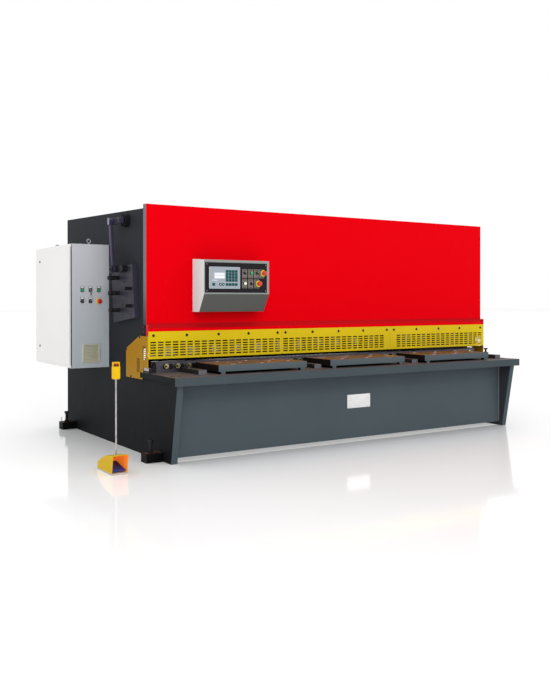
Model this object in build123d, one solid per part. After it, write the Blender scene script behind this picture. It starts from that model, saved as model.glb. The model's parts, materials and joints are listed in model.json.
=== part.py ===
from build123d import *
import os

# Hydraulic plate shear with a 4 m cutting length, seen from the operator's side.
# +X runs along the blades to the operator's right, +Y to the back, +Z up, in millimetres.
# The origin is on the floor in the middle of the four anchor holes.
# Each Y value named here is measured back from the front cover's face.

os.makedirs("parts", exist_ok=True)

# Main frame
frame_half_length = 2100
side_thickness = 60
side_back = 2108
side_top_front = 2220
side_top_rise = 67
side_top_back = side_top_front + side_top_rise
side_toe = -393
side_lean_top = -511
upper_side_front = 60
throat_back = 270
throat_top = 960
throat_radius = 40

# Feet and anchor holes
foot_front_y = -250
rear_foot_front_y = 1830
foot_length = 110
foot_width = 160
foot_height = 80
anchor_offset_x = 42
jack_offset_x = 95
anchor_hole_r = 11
jack_r = 14
jack_top = 190
jack_head_r = 20
jack_head_height = 16
jack_nut_r = 24

# Worktable, apron and knives
table_overhang = 40
table_half_length = frame_half_length + table_overhang
table_front_y = -545
table_top = 745
table_thickness = 45
lip_bottom = 674
lip_thickness = 25
knife_face_y = 122
apron_y = -355
apron_thickness = 25
apron_bottom = 43
cutting_level = 838
knife_thickness = 25
knife_height = 80
knife_block_front = 5
knife_gap = 1.0
fit_gap = 0.5
screw_end = 94
screw_count = 35
screw_r = 24
screw_height = 22
screw_level = 800
end_block_front = -42
end_block_back = 60
end_block_height = 45
end_block_width = 36

# Upper beam
upper_knife_left = 880
knife_rake = 75
beam_thickness = 40
beam_drop = 320
beam_top = side_top_front - beam_drop
beam_lap = 45
beam_side_clear = 4
arm_root = 500
arm_rise = 60
arm_reach = 90
hold_down_count = 17
hold_down_end = 56
hold_down_y = 62
hold_down_r = 46
ram_r = 22
pad_r = 30
pad_bottom = 884
pad_height = 16
hold_down_bottom = 914
hold_down_top = 1060
hold_beam_thickness = 50
hold_beam_height = 440
hold_flange = 30
hold_flange_clear = 4

# Front cover
cover_overhang = 43
cover_half_length = frame_half_length + cover_overhang
cover_rise = 27
cover_top = side_top_front + cover_rise
cover_sheet = 12
cover_depth = 60
cover_ledge_top = 1176
cover_ledge_low = 1136
guard_y = -47
guard_top = 1115
guard_bottom = 872
guard_sheet = 6
guard_lip = 22
guard_shift = -5
guard_middle_half = 0.3294 * cover_half_length
guard_gap = 2
slot_rows = 6
slot_columns_left = 19
slot_columns_right = 18
slot_width = 57
slot_height = 12
slot_row_pitch = 23.3
slot_first_row = 1018
slot_narrow_margin = 18
slot_end_margin = 40
slot_wide_margin = 90

# Side guards
side_guard_clear = 1
side_guard_sheet = 4
side_guard_back = 420
side_guard_front = -41
side_guard_top = 1072
side_guard_corner_y = 133
side_guard_corner_z = 948
side_guard_bottom = 685
side_guard_foot_y = 76
side_guard_table_gap = 3
side_slot_height = 9
side_slot_count = 7
side_slot_pitch = 18
side_slot_width = 76
side_slot_front_y = -2
side_slot_front_z = 863
side_slot_back_y = 122
side_slot_back_z = 749

# Support plates on the table
rest_count = 3
rest_left_margin = 488
rest_right_margin = 365
rest_gap = 281
rest_span = 2 * table_half_length - rest_left_margin - rest_right_margin
rest_length = (rest_span - (rest_count - 1) * rest_gap) / rest_count
rest_pitch = rest_length + rest_gap
rest_first = rest_left_margin - table_half_length
rest_front = -430
rest_clear = 5
rest_top = 826
rest_bottom = 768
rest_foot_size = 45
rest_foot_inset = 25
ball_r = 13
bar_width = 82
bar_length = 330
bar_height = 38
bar_count = 4
bar_left_margin = 372
bar_right_margin = 122
bar_first = bar_left_margin - table_half_length
bar_pitch = (2 * table_half_length - bar_left_margin - bar_right_margin) / (bar_count - 1)

# Control box on the cover
box_from_end = 470
box_length = 700
box_left = box_from_end - cover_half_length
box_right = box_left + box_length
box_top_back = 1770
box_top_front = 1756
box_depth = 212
box_knee = 1448
box_bottom = 1287
box_foot_depth = 120
panel_sheet = 6
panel_margin = 9
panel_length = 662
panel_left = box_left + panel_margin
panel_right = panel_left + panel_length
panel_low = 1462
panel_high = 1732
keypad_margin = 39
keypad_length = 324
keypad_left = panel_left + keypad_margin
keypad_right = keypad_left + keypad_length
keypad_low = 1495
keypad_high = 1694
keypad_proud = 8
control_row_upper = 1642
control_row_lower = 1545
control_column_1 = 417
control_column_2 = 488
control_column_3 = 552
control_column_4 = 624
control_column_5 = 571

# Push buttons, selectors and stop buttons
bezel_r = 15
bezel_height = 5
button_r = 11
button_proud = 6
button_hole_r = 11.5
button_well = 6
button_seat = 0.3
stop_stem_r = 11
stop_head_r = 20
stop_head_height = 12
stop_stand = 16
knob_r = 12
knob_height = 14
knob_grip = 4.2

# Electric cabinet on the left side
cabinet_width = 386
cabinet_front_y = 935
cabinet_length = 1005
cabinet_bottom = 735
cabinet_top = 1940
cabinet_wall = 4
door_sheet = 3
door_fold = 22
door_gap = 6
lug_size = 18
lug_reach = 12
lug_thickness = 4
hinge_pin_r = 3
hinge_pin_length = 8
hinge_inset = 6
hinge_clear = 2
cabinet_row_upper = 1492
cabinet_row_lower = 1384
cabinet_column_1 = 107
cabinet_column_2 = 191
cabinet_column_3 = 279
filter_size = 180
filter_thickness = 12
filter_shift = 4
filter_centre_z = 878
eye_end = 45
eye_ring_r = 18
eye_wire_r = 5
eye_stem_r = 8
eye_stem_height = 17

# Blade gap linkage on the left side
upper_pivot_y = 490
upper_pivot_drop = 80
upper_pivot_z = side_top_front - upper_pivot_drop
crank_arm = 150
link_run_y = -60
link_run_share = 0.3856
lower_pivot_y = upper_pivot_y + link_run_y
lower_pivot_z = upper_pivot_z - link_run_share * (upper_pivot_z - throat_top)
lever_thickness = 40
lever_hub_r = 29
lever_gap = 7
link_thickness = 30
link_gap = 2
link_r = 14
link_eye_r = 30
link_pin_r = 14
link_pin_clear = 0.05
link_cap_r = 38
link_cap_height = 10
shaft_r = 20
bearing_r = 62
bearing_thickness = 45
bracket_width = 480
bracket_room = lower_pivot_z - throat_top
bracket_height = 0.6828 * bracket_room
bracket_tilt = -6.5
bracket_back = 73
bracket_drop = 0.32 * bracket_room
bracket_centre_y = lower_pivot_y + bracket_back
bracket_centre_z = lower_pivot_z - bracket_drop
bracket_thickness = 45
spring_long = 105
spring_long_r = 20
spring_short = 60
spring_short_r = 16
spring_column_back = 85
spring_column_front = -178
spring_lean = 0.077
spring_below_pivot = 80
spring_row_top = bracket_drop - spring_below_pivot
spring_row_middle = 0.014 * bracket_height
spring_row_low = -0.311 * bracket_height
spring_row_short_top = 0.099 * bracket_height
spring_row_short_low = -0.226 * bracket_height

# Foot switch with its emergency stop post
foot_switch_offset = 528
hood_centre_x = -frame_half_length - foot_switch_offset
hood_width = 136
hood_front_foot = -521
hood_front_top = -547
hood_top_front = 160
hood_top_mid_y = -370
hood_top_mid = 134
hood_back_y = -224
hood_back_top = 59
hood_sheet = 3
hood_mouth = 60
pedal_base = 12
pedal_base_front = 12
treadle_pin_r = 5
treadle_pin_back = 30
treadle_pin_height = 16
treadle_length = 170
treadle_rise = 40
treadle_thickness = 12
treadle_clear = 8
post_r = 9
post_y = -452
post_top = 757
stop_box_width = 82
stop_box_depth = 70
stop_box_height = 101
shroud_height = 36
shroud_inset = 3
shroud_bore_r = 27
shroud_window = 18
shroud_bar = 9
stop_box_corner = 10
post_stop_drop = 4

# Rear of the machine
tie_half_height = 175
tie_centre_z = 275
tie_thickness = 40
tie_from_back = 120
shelf_thickness = 30
shelf_margin = 40
tank_half_length = 700
tank_front_y = 1150
tank_back_y = 1850
tank_height = 440
tank_drop = 140
tank_top = side_top_front - tank_drop
tank_bottom = tank_top - tank_height
motor_r = 130
motor_length = 400
motor_gap = 30
motor_level = 175
motor_foot_height = 70
motor_foot_half = 120
coupling_r = 70
gauge_side_clear = 400
gauge_half_length = frame_half_length - gauge_side_clear
hanger_from_end = 450
gauge_x = gauge_half_length - hanger_from_end
gauge_y = 650
gauge_thickness = 40
gauge_bottom = 770
gauge_top = 960
hanger_half = 70
hanger_depth = 120
rail_half = 50
rail_back = 1100
rail_bottom = 1040
rail_top = 1120

cover_y = -(foot_front_y + rear_foot_front_y + foot_length) / 2
floor_z = 0


def at_y(distance):
    return cover_y + distance


def block(x0, x1, y0, y1, z0, z1):
    """Box between two corners; the Y values are measured back from the cover's face."""
    return Pos((x0 + x1) / 2, at_y((y0 + y1) / 2), (z0 + z1) / 2) * Box(x1 - x0, y1 - y0, z1 - z0)


def profile_x(points, x0, x1):
    """Prism along X from an outline of (distance behind the cover's face, height)."""
    outline = [(at_y(y), z) for y, z in points]
    face = make_face(Plane.YZ.offset(x0) * Polyline(*outline, close=True))
    return extrude(face, amount=x1 - x0, dir=(1, 0, 0))


def rod_x(radius, x0, x1, y, z):
    return Pos((x0 + x1) / 2, at_y(y), z) * Rot(0, 90, 0) * Cylinder(radius, x1 - x0)


def rod_y(radius, x, y0, y1, z):
    return Pos(x, at_y((y0 + y1) / 2), z) * Rot(90, 0, 0) * Cylinder(radius, y1 - y0)


def rod_z(radius, x, y, z0, z1):
    return Pos(x, at_y(y), (z0 + z1) / 2) * Cylinder(radius, z1 - z0)


def hexagon_z(radius, x, y, z0, z1):
    face = Pos(x, at_y(y), z0) * RegularPolygon(radius, 6)
    return extrude(face, amount=z1 - z0)


def hexagon_y(radius, x, y0, y1, z):
    face = Plane(origin=(x, at_y(y0), z), x_dir=(1, 0, 0), z_dir=(0, 1, 0)) * RegularPolygon(radius, 6)
    return extrude(face, amount=y1 - y0)


def save(name, solids):
    """Write one node: a single solid, or several that do not touch."""
    pieces = []
    for piece in solids if isinstance(solids, list) else [solids]:
        pieces.extend(piece.solids())
    shape = pieces[0] if len(pieces) == 1 else Compound(children=pieces)
    export_step(shape, f"parts/{name}.step")


# Side frames: heavy plates with a leaning front edge and an open throat
inner_x = frame_half_length - side_thickness
table_underside = table_top - table_thickness
side_outline = [
    (side_toe, floor_z),
    (side_lean_top, table_underside),
    (knife_face_y, table_underside),
    (knife_face_y, table_top),
    (throat_back, table_top),
    (throat_back, throat_top),
    (upper_side_front, throat_top),
    (upper_side_front, side_top_front),
    (side_back, side_top_back),
    (side_back, floor_z),
]
rest_back = knife_block_front - screw_height - rest_clear
side_guard_gap = cover_half_length - frame_half_length + side_guard_clear


def side_frame(x0, x1):
    plate = profile_x(side_outline, x0, x1)
    corners = [
        edge
        for edge in plate.edges().filter_by(Axis.X)
        if abs(edge.center().Y - at_y(throat_back)) < 1 and table_top - 1 < edge.center().Z < throat_top + 1
    ]
    return fillet(corners, throat_radius)


def pivot_bore(x0, x1):
    return rod_x(shaft_r + link_pin_clear, x0 - 1, x1 + 1, upper_pivot_y, upper_pivot_z)


save("left_side_frame", side_frame(-frame_half_length, -inner_x) - pivot_bore(-frame_half_length, -inner_x))
save("right_side_frame", side_frame(inner_x, frame_half_length) - pivot_bore(inner_x, frame_half_length))

# Feet: a block welded outside each side frame, with a jack bolt and an anchor hole
feet = []
jacks = []
for side in (-1, 1):
    near = side * frame_half_length
    far = side * (frame_half_length + foot_width)
    anchor_x = side * (frame_half_length + anchor_offset_x)
    jack_x = side * (frame_half_length + jack_offset_x)
    for start_y in (foot_front_y, rear_foot_front_y):
        middle_y = start_y + foot_length / 2
        foot = block(min(near, far), max(near, far), start_y, start_y + foot_length, floor_z, foot_height)
        foot -= rod_z(anchor_hole_r, anchor_x, middle_y, floor_z - 1, foot_height + 1)
        foot -= rod_z(jack_r + link_pin_clear, jack_x, middle_y, floor_z - 1, foot_height + 1)
        feet.append(foot)
        jack = rod_z(jack_r, jack_x, middle_y, floor_z, jack_top)
        jack += hexagon_z(jack_head_r, jack_x, middle_y, jack_top - jack_head_height, jack_top)
        jack += hexagon_z(jack_nut_r, jack_x, middle_y, foot_height, foot_height + jack_head_height)
        jacks.append(jack)
save("foot_blocks", feet)
save("jack_bolts", jacks)

# Worktable with its front lip
table = profile_x(
    [
        (table_front_y, lip_bottom),
        (table_front_y, table_top),
        (knife_face_y, table_top),
        (knife_face_y, table_underside),
        (table_front_y + lip_thickness, table_underside),
        (table_front_y + lip_thickness, lip_bottom),
    ],
    -table_half_length,
    table_half_length,
)
save("worktable", table)

# Apron below the table, and the table's rear wall
save(
    "apron",
    block(-inner_x, inner_x, apron_y, apron_y + apron_thickness, apron_bottom, table_underside),
)
save(
    "table_rear_wall",
    block(-inner_x, inner_x, knife_face_y - beam_thickness, knife_face_y, apron_bottom, table_underside),
)

# Lower knife, its block and the row of hexagon adjusting screws
knife_front = knife_face_y - knife_thickness
save(
    "lower_knife",
    block(-inner_x + fit_gap, inner_x - fit_gap, knife_front, knife_face_y, table_top, cutting_level),
)
save(
    "knife_block",
    block(-inner_x + fit_gap, inner_x - fit_gap, knife_block_front, knife_front, table_top, cutting_level),
)
screw_first = screw_end - inner_x
screw_pitch = -2 * screw_first / (screw_count - 1)
screws = []
for i in range(screw_count):
    x = screw_first + i * screw_pitch
    screws.append(hexagon_y(screw_r, x, knife_block_front - screw_height, knife_block_front, screw_level))
save("gap_screws", screws)

# A pale block on each end of the table, below the notch in the side guard
end_blocks = []
for side in (-1, 1):
    far = side * (table_half_length - 1)
    near = far - side * end_block_width
    x0 = min(near, far)
    x1 = max(near, far)
    end_top = table_top + end_block_height
    end_blocks.append(block(x0, x1, end_block_front, end_block_back, table_top, end_top))
save("table_end_blocks", end_blocks)

# Upper knife beam: the face plate's lower edge carries the raked knife
beam_front = knife_face_y + knife_gap
beam_half = inner_x - fit_gap - beam_side_clear


def raked(lift, y0, y1, top):
    """Plate across the machine whose lower edge rises to the right by the knife's rake."""
    outline = [
        (-beam_half, upper_knife_left + lift),
        (beam_half, upper_knife_left + lift + knife_rake),
        (beam_half, top(beam_half)),
        (-beam_half, top(-beam_half)),
    ]
    face = make_face(Plane.XZ.offset(-at_y(y0)) * Polyline(*outline, close=True))
    return extrude(face, amount=y1 - y0, dir=(0, 1, 0))


def rake_line(lift):
    return lambda x: upper_knife_left + lift + knife_rake * (x + beam_half) / (2 * beam_half)


save("upper_knife", raked(0, beam_front, beam_front + knife_thickness, rake_line(knife_height)))
knife_back = beam_front + knife_thickness
beam_back = knife_back + beam_thickness
beam = raked(beam_lap, knife_back, beam_back, lambda x: beam_top)
for side in (-1, 1):
    x_out = side * beam_half
    x_in = side * (beam_half - beam_thickness)
    arm = profile_x(
        [
            (beam_back, beam_top - arm_root),
            (beam_back, beam_top),
            (upper_pivot_y - arm_reach, upper_pivot_z + arm_rise),
            (upper_pivot_y + arm_reach, upper_pivot_z + arm_rise),
            (upper_pivot_y + arm_reach, upper_pivot_z - arm_reach),
        ],
        min(x_out, x_in),
        max(x_out, x_in),
    )
    beam += arm - pivot_bore(min(x_out, x_in), max(x_out, x_in))
save("swing_beam", beam)
pivot_end = beam_half - beam_thickness
right_pivot = rod_x(shaft_r, pivot_end, frame_half_length, upper_pivot_y, upper_pivot_z)
right_cap = frame_half_length + bearing_thickness / 2
right_pivot += rod_x(bearing_r, frame_half_length, right_cap, upper_pivot_y, upper_pivot_z)

# Hold-down beam with its row of clamping cylinders
hold_back = upper_side_front + hold_beam_thickness
flange_top = hold_down_top + hold_flange
flange_front = cover_sheet + hold_flange_clear
hold_top = hold_down_top + hold_beam_height
hold_beam = block(-inner_x, inner_x, upper_side_front, hold_back, flange_top, hold_top)
hold_beam += block(-inner_x, inner_x, flange_front, hold_back, hold_down_top, flange_top)
save("hold_down_beam", hold_beam)
clamps = []
hold_down_first = hold_down_end - inner_x
hold_down_pitch = -2 * hold_down_first / (hold_down_count - 1)
for i in range(hold_down_count):
    x = hold_down_first + i * hold_down_pitch
    clamp = rod_z(hold_down_r, x, hold_down_y, hold_down_bottom, hold_down_top)
    clamp += rod_z(ram_r, x, hold_down_y, pad_bottom, hold_down_bottom)
    clamp += rod_z(pad_r, x, hold_down_y, pad_bottom, pad_bottom + pad_height)
    clamps.append(clamp)
save("hold_down_cylinders", clamps)

# Front cover: folded sheet with end returns and a ledge that flares out over the guard
cover = profile_x(
    [
        (0, cover_top),
        (cover_depth, cover_top),
        (cover_depth, cover_top - cover_sheet),
        (cover_sheet, cover_top - cover_sheet),
        (cover_sheet, cover_ledge_top - cover_sheet / 2),
        (guard_y + cover_sheet, cover_ledge_low - cover_sheet / 2),
        (guard_y + cover_sheet, guard_top),
        (guard_y, guard_top),
        (guard_y, cover_ledge_low),
        (0, cover_ledge_top),
    ],
    -cover_half_length,
    cover_half_length,
)
for side in (-1, 1):
    outer = side * cover_half_length
    inner = side * (cover_half_length - cover_sheet)
    edge = side * frame_half_length
    fold_y = cover_depth - cover_sheet
    cover += block(
        min(outer, inner), max(outer, inner), cover_sheet / 2, cover_depth, cover_ledge_top, cover_top - 1
    )
    cover += block(min(inner, edge), max(inner, edge), fold_y, cover_depth, cover_ledge_top, cover_top - 1)
save("front_cover", cover)


# Finger guards: three slotted sheets hanging under the ledge
def finger_guard(x0, x1, columns, left_margin, right_margin):
    """Sheet with a lip folded back at its foot; the margins run to the first and the last slot."""
    sheet = block(x0, x1, guard_y, guard_y + guard_sheet, guard_bottom, guard_top)
    sheet += block(x0, x1, guard_y, guard_y + guard_lip, guard_bottom, guard_bottom + guard_sheet)
    pitch = (x1 - x0 - left_margin - right_margin - slot_width) / (columns - 1)
    slots = []
    for row in range(slot_rows):
        low = slot_first_row - row * slot_row_pitch - slot_height / 2
        for column in range(columns):
            x = x0 + left_margin + column * pitch
            slots.append(
                block(x, x + slot_width, guard_y - 1, guard_y + guard_sheet + 1, low, low + slot_height)
            )
    return sheet - slots


joint_left = guard_shift - guard_middle_half
joint_right = guard_shift + guard_middle_half
left_x = (-cover_half_length, joint_left - guard_gap / 2)
middle_x = (joint_left + guard_gap / 2, joint_right - guard_gap / 2)
right_x = (joint_right + guard_gap / 2, cover_half_length)
left_sheet = finger_guard(*left_x, slot_columns_left, slot_narrow_margin, slot_narrow_margin)
middle_sheet = finger_guard(*middle_x, slot_columns_right, slot_narrow_margin, slot_wide_margin)
right_sheet = finger_guard(*right_x, slot_columns_right, slot_wide_margin, slot_end_margin)
save("left_finger_guard", left_sheet)
save("middle_finger_guard", middle_sheet)
save("right_finger_guard", right_sheet)


# Side guards: sheets standing off the side frames over the throat
def side_guard(side):
    """Slotted sheet, folded in at its back edge to meet the side frame."""
    outer = side * (frame_half_length + side_guard_gap + side_guard_sheet)
    inner = side * (frame_half_length + side_guard_gap)
    near = side * frame_half_length
    foot = table_top + side_guard_table_gap
    notch_top = foot + end_block_height
    sheet = profile_x(
        [
            (side_guard_front, notch_top),
            (side_guard_front, side_guard_top),
            (side_guard_corner_y, side_guard_top),
            (side_guard_back, side_guard_corner_z),
            (side_guard_back, side_guard_bottom),
            (side_guard_foot_y, side_guard_bottom),
            (side_guard_foot_y, table_underside - side_guard_table_gap),
            (knife_face_y + side_guard_table_gap, table_underside - side_guard_table_gap),
            (knife_face_y + side_guard_table_gap, foot),
            (end_block_back + side_guard_table_gap, foot),
            (end_block_back + side_guard_table_gap, notch_top),
        ],
        min(outer, inner),
        max(outer, inner),
    )
    fold_front = side_guard_back - side_guard_sheet
    fold_x0 = min(inner, near)
    fold_x1 = max(inner, near)
    sheet += block(fold_x0, fold_x1, fold_front, side_guard_back, side_guard_bottom, side_guard_corner_z)
    slots = []
    for y, low in ((side_slot_front_y, side_slot_front_z), (side_slot_back_y, side_slot_back_z)):
        for i in range(side_slot_count):
            z = low + i * side_slot_pitch
            x = min(outer, inner) - 1
            slot = block(x, x + side_guard_sheet + 2, y, y + side_slot_width, z, z + side_slot_height)
            slots.append(slot)
    return sheet - slots


save("side_guards", [side_guard(-1), side_guard(1)])

# Support plates on blocks, with ball rests placed by shares of the plate's length and depth
ball_spots = (
    (0.195, 0.85),
    (0.195, 0.15),
    (0.37, 0.54),
    (0.515, 0.83),
    (0.51, 0.13),
    (0.685, 0.46),
    (0.85, 0.86),
    (0.87, 0.33),
)
rest_depth = rest_back - rest_front
rests = []
balls = []
for index in range(rest_count):
    x0 = rest_first + index * rest_pitch
    x1 = x0 + rest_length
    plate = block(x0, x1, rest_front, rest_back, rest_bottom, rest_top)
    for foot_x in (x0 + rest_foot_inset, x1 - rest_foot_inset - rest_foot_size):
        for foot_y in (rest_front, rest_back - rest_foot_size):
            plate += block(
                foot_x, foot_x + rest_foot_size, foot_y, foot_y + rest_foot_size, table_top, rest_bottom
            )
    rests.append(plate)
    for share_x, share_y in ball_spots:
        centre = (x0 + share_x * rest_length, at_y(rest_front + share_y * rest_depth), rest_top)
        ball = Pos(*centre) * Sphere(ball_r)
        balls.append(ball & block(x0, x1, rest_front, rest_back, rest_top, rest_top + ball_r))
save("support_plates", rests)
save("ball_rests", balls)

# Bars lying on the table between the support plates
bars = []
bar_top = table_top + bar_height
for i in range(bar_count):
    x = bar_first + i * bar_pitch - bar_width / 2
    bars.append(block(x, x + bar_width, rest_back - bar_length, rest_back, table_top, bar_top))
save("table_bars", bars)

# Control box: closed housing with a black panel and a control unit
box_shell = profile_x(
    [
        (0, box_top_back),
        (-box_depth, box_top_front),
        (-box_depth, box_knee),
        (-box_foot_depth, box_bottom),
        (0, box_bottom),
    ],
    box_left,
    box_right,
)
save("control_box", box_shell)
panel_face = -box_depth - panel_sheet
panel = block(panel_left, panel_right, panel_face, -box_depth, panel_low, panel_high)
unit_face = panel_face - keypad_proud
save("control_unit", block(keypad_left, keypad_right, unit_face, panel_face, keypad_low, keypad_high))


def bezel(x, y, z):
    """Ring standing proud of a panel that faces the operator."""
    ring = rod_y(bezel_r, x, y - bezel_height, y, z)
    return ring - rod_y(button_hole_r, x, y - bezel_height - 1, y + 1, z)


def push_button(x, y, z):
    return rod_y(button_r, x, y - bezel_height - button_proud, y - button_seat, z)


def knob(x, y, z):
    body = rod_y(button_r, x, y - bezel_height, y - button_seat, z)
    front = y - bezel_height - knob_height
    return body + block(x - knob_grip, x + knob_grip, front, y - bezel_height, z - knob_r, z + knob_r)


def stop_button(x, y, z):
    stem = rod_y(stop_stem_r, x, y - stop_stand, y - button_seat, z)
    return stem + rod_y(stop_head_r, x, y - stop_stand - stop_head_height, y - stop_stand, z)


def well(x, y, z):
    return rod_y(button_hole_r, x, y - 1, y + button_well, z)


def fit_buttons(plate, items, y):
    """Cut the wells into a plate, add the rings and write each button as its own node."""
    for name, (x, z, make) in items.items():
        plate = plate - well(x, y, z) + bezel(x, y, z)
        save(name, make(x, y, z))
    return plate


panel_items = {
    "panel_selector_left": (panel_left + control_column_1, control_row_upper, knob),
    "panel_start_button": (panel_left + control_column_2, control_row_upper, push_button),
    "panel_selector_right": (panel_left + control_column_3, control_row_upper, knob),
    "panel_stop_upper": (panel_left + control_column_4, control_row_upper, stop_button),
    "panel_white_button": (panel_left + control_column_1, control_row_lower, push_button),
    "panel_selector_lower": (panel_left + control_column_2, control_row_lower, knob),
    "panel_stop_lower": (panel_left + control_column_5, control_row_lower, stop_button),
}
save("control_panel", fit_buttons(panel, panel_items, panel_face))

# Electric cabinet: open box on the left side frame, its door facing outwards
cabinet_outer = -frame_half_length - cabinet_width
cabinet_back_y = cabinet_front_y + cabinet_length
plate_x = -frame_half_length
cabinet = block(cabinet_outer, plate_x, cabinet_front_y, cabinet_back_y, cabinet_bottom, cabinet_top)
cabinet -= block(
    cabinet_outer - 1,
    -frame_half_length - cabinet_wall,
    cabinet_front_y + cabinet_wall,
    cabinet_back_y - cabinet_wall,
    cabinet_bottom + cabinet_wall,
    cabinet_top - cabinet_wall,
)
cabinet_items = {
    "cabinet_start_button": (cabinet_outer + cabinet_column_1, cabinet_row_upper, push_button),
    "cabinet_key_switch": (cabinet_outer + cabinet_column_2, cabinet_row_upper, knob),
    "cabinet_green_button": (cabinet_outer + cabinet_column_3, cabinet_row_upper, push_button),
    "cabinet_selector_left": (cabinet_outer + cabinet_column_1, cabinet_row_lower, knob),
    "cabinet_selector_right": (cabinet_outer + cabinet_column_2, cabinet_row_lower, knob),
    "cabinet_stop_button": (cabinet_outer + cabinet_column_3, cabinet_row_lower, stop_button),
}
door_inner = cabinet_outer - door_gap
door_outer = door_inner - door_fold
hinge_x = door_inner - hinge_inset
hinge_y = cabinet_front_y + hinge_inset
for lug_z, pin_z in (
    (cabinet_top - lug_thickness, cabinet_top - lug_thickness - hinge_pin_length),
    (cabinet_bottom, cabinet_bottom + lug_thickness),
):
    cabinet += block(
        cabinet_outer - lug_reach,
        cabinet_outer,
        cabinet_front_y,
        cabinet_front_y + lug_size,
        lug_z,
        lug_z + lug_thickness,
    )
    cabinet += rod_z(hinge_pin_r, hinge_x, hinge_y, pin_z, pin_z + hinge_pin_length)
save("electric_cabinet", fit_buttons(cabinet, cabinet_items, cabinet_front_y))
filter_x = cabinet_outer + cabinet_width / 2 + filter_shift
save(
    "cabinet_filter",
    block(
        filter_x - filter_size / 2,
        filter_x + filter_size / 2,
        cabinet_front_y - filter_thickness,
        cabinet_front_y,
        filter_centre_z - filter_size / 2,
        filter_centre_z + filter_size / 2,
    ),
)
door_bottom = cabinet_bottom + lug_thickness + hinge_clear
door_top = cabinet_top - lug_thickness - hinge_clear
door = block(door_outer, door_inner, cabinet_front_y, cabinet_back_y, door_bottom, door_top)
door -= block(
    door_outer + door_sheet,
    door_inner + 1,
    cabinet_front_y + door_sheet,
    cabinet_back_y - door_sheet,
    door_bottom + door_sheet,
    door_top - door_sheet,
)
door -= rod_z(hinge_pin_r + link_pin_clear, hinge_x, hinge_y, door_bottom - 1, door_top + 1)
save("cabinet_door", door)
eyes = []
eye_x = cabinet_outer + cabinet_width / 2
eye_z = cabinet_top + eye_stem_height + eye_ring_r - 2
for y in (cabinet_front_y + eye_end, cabinet_back_y - eye_end):
    ring = Pos(eye_x, at_y(y), eye_z) * Rot(90, 0, 0) * Torus(eye_ring_r, eye_wire_r)
    eyes.append(ring + rod_z(eye_stem_r, eye_x, y, cabinet_top, cabinet_top + eye_stem_height))
save("lifting_eyes", eyes)

# Blade gap linkage: two parallel levers joined by a rod, on a bearing and a tilted bracket
lever_in = -frame_half_length - bearing_thickness - lever_gap
lever_out = lever_in - lever_thickness
link_in = lever_out - link_gap
link_out = link_in - link_thickness
pin_y = upper_pivot_y + crank_arm
low_pin_y = lower_pivot_y + crank_arm


def lever(y, z, shaft_end):
    """Flat bar from the shaft to its end pin, with the shaft behind and the pin in front."""
    bar = block(lever_out, lever_in, y, y + crank_arm, z - lever_hub_r, z + lever_hub_r)
    bar += rod_x(lever_hub_r, lever_out, lever_in, y, z)
    bar += rod_x(lever_hub_r, lever_out, lever_in, y + crank_arm, z)
    bar += rod_x(shaft_r, lever_in, shaft_end, y, z)
    bar += rod_x(link_pin_r, link_out - link_gap, lever_out, y + crank_arm, z)
    bar += rod_x(link_cap_r, link_out - link_gap - link_cap_height, link_out - link_gap, y + crank_arm, z)
    return bar


bearing_face = -frame_half_length - bearing_thickness
upper_bearing = rod_x(bearing_r, bearing_face, -frame_half_length, upper_pivot_y, upper_pivot_z)
upper_bearing -= pivot_bore(bearing_face, -frame_half_length)
save("pivot_bearings", [upper_bearing, right_pivot])
save("upper_lever", lever(upper_pivot_y, upper_pivot_z, -pivot_end))
save("lower_lever", lever(lower_pivot_y, lower_pivot_z, -frame_half_length - button_seat))
link = rod_x(link_eye_r, link_out, link_in, pin_y, upper_pivot_z)
link += rod_x(link_eye_r, link_out, link_in, low_pin_y, lower_pivot_z)
top_end = Vector((link_in + link_out) / 2, at_y(pin_y), upper_pivot_z)
low_end = Vector((link_in + link_out) / 2, at_y(low_pin_y), lower_pivot_z)
link_line = top_end - low_end
link += extrude(Plane(origin=low_end, z_dir=link_line) * Circle(link_r), amount=link_line.length)
for y, z in ((pin_y, upper_pivot_z), (low_pin_y, lower_pivot_z)):
    link -= rod_x(link_pin_r + link_pin_clear, link_out - 1, link_in + 1, y, z)
save("link_rod", link)
bracket_face = -frame_half_length - bracket_thickness
bracket_x = bracket_face + bracket_thickness / 2
bracket = Box(bracket_thickness, bracket_width, bracket_height)
bracket = Pos(bracket_x, at_y(bracket_centre_y), bracket_centre_z) * Rot(bracket_tilt, 0, 0) * bracket
bore_r = shaft_r + link_pin_clear
bracket -= rod_x(bore_r, bracket_face - 1, -frame_half_length + 1, lower_pivot_y, lower_pivot_z)
save("guide_bracket", bracket)
long_pin = (spring_long, spring_long_r)
short_pin = (spring_short, spring_short_r)
pins = []
for dy, dz, (length, radius) in (
    (spring_column_back, spring_row_top, long_pin),
    (spring_column_back, spring_row_middle, long_pin),
    (spring_column_back, spring_row_low, long_pin),
    (spring_column_front, spring_row_short_top, short_pin),
    (spring_column_front, spring_row_short_low, short_pin),
):
    pin_at = bracket_centre_y + dy + spring_lean * dz
    pins.append(rod_x(radius, bracket_face - length, bracket_face, pin_at, bracket_centre_z + dz))
save("spring_pins", pins)

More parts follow.
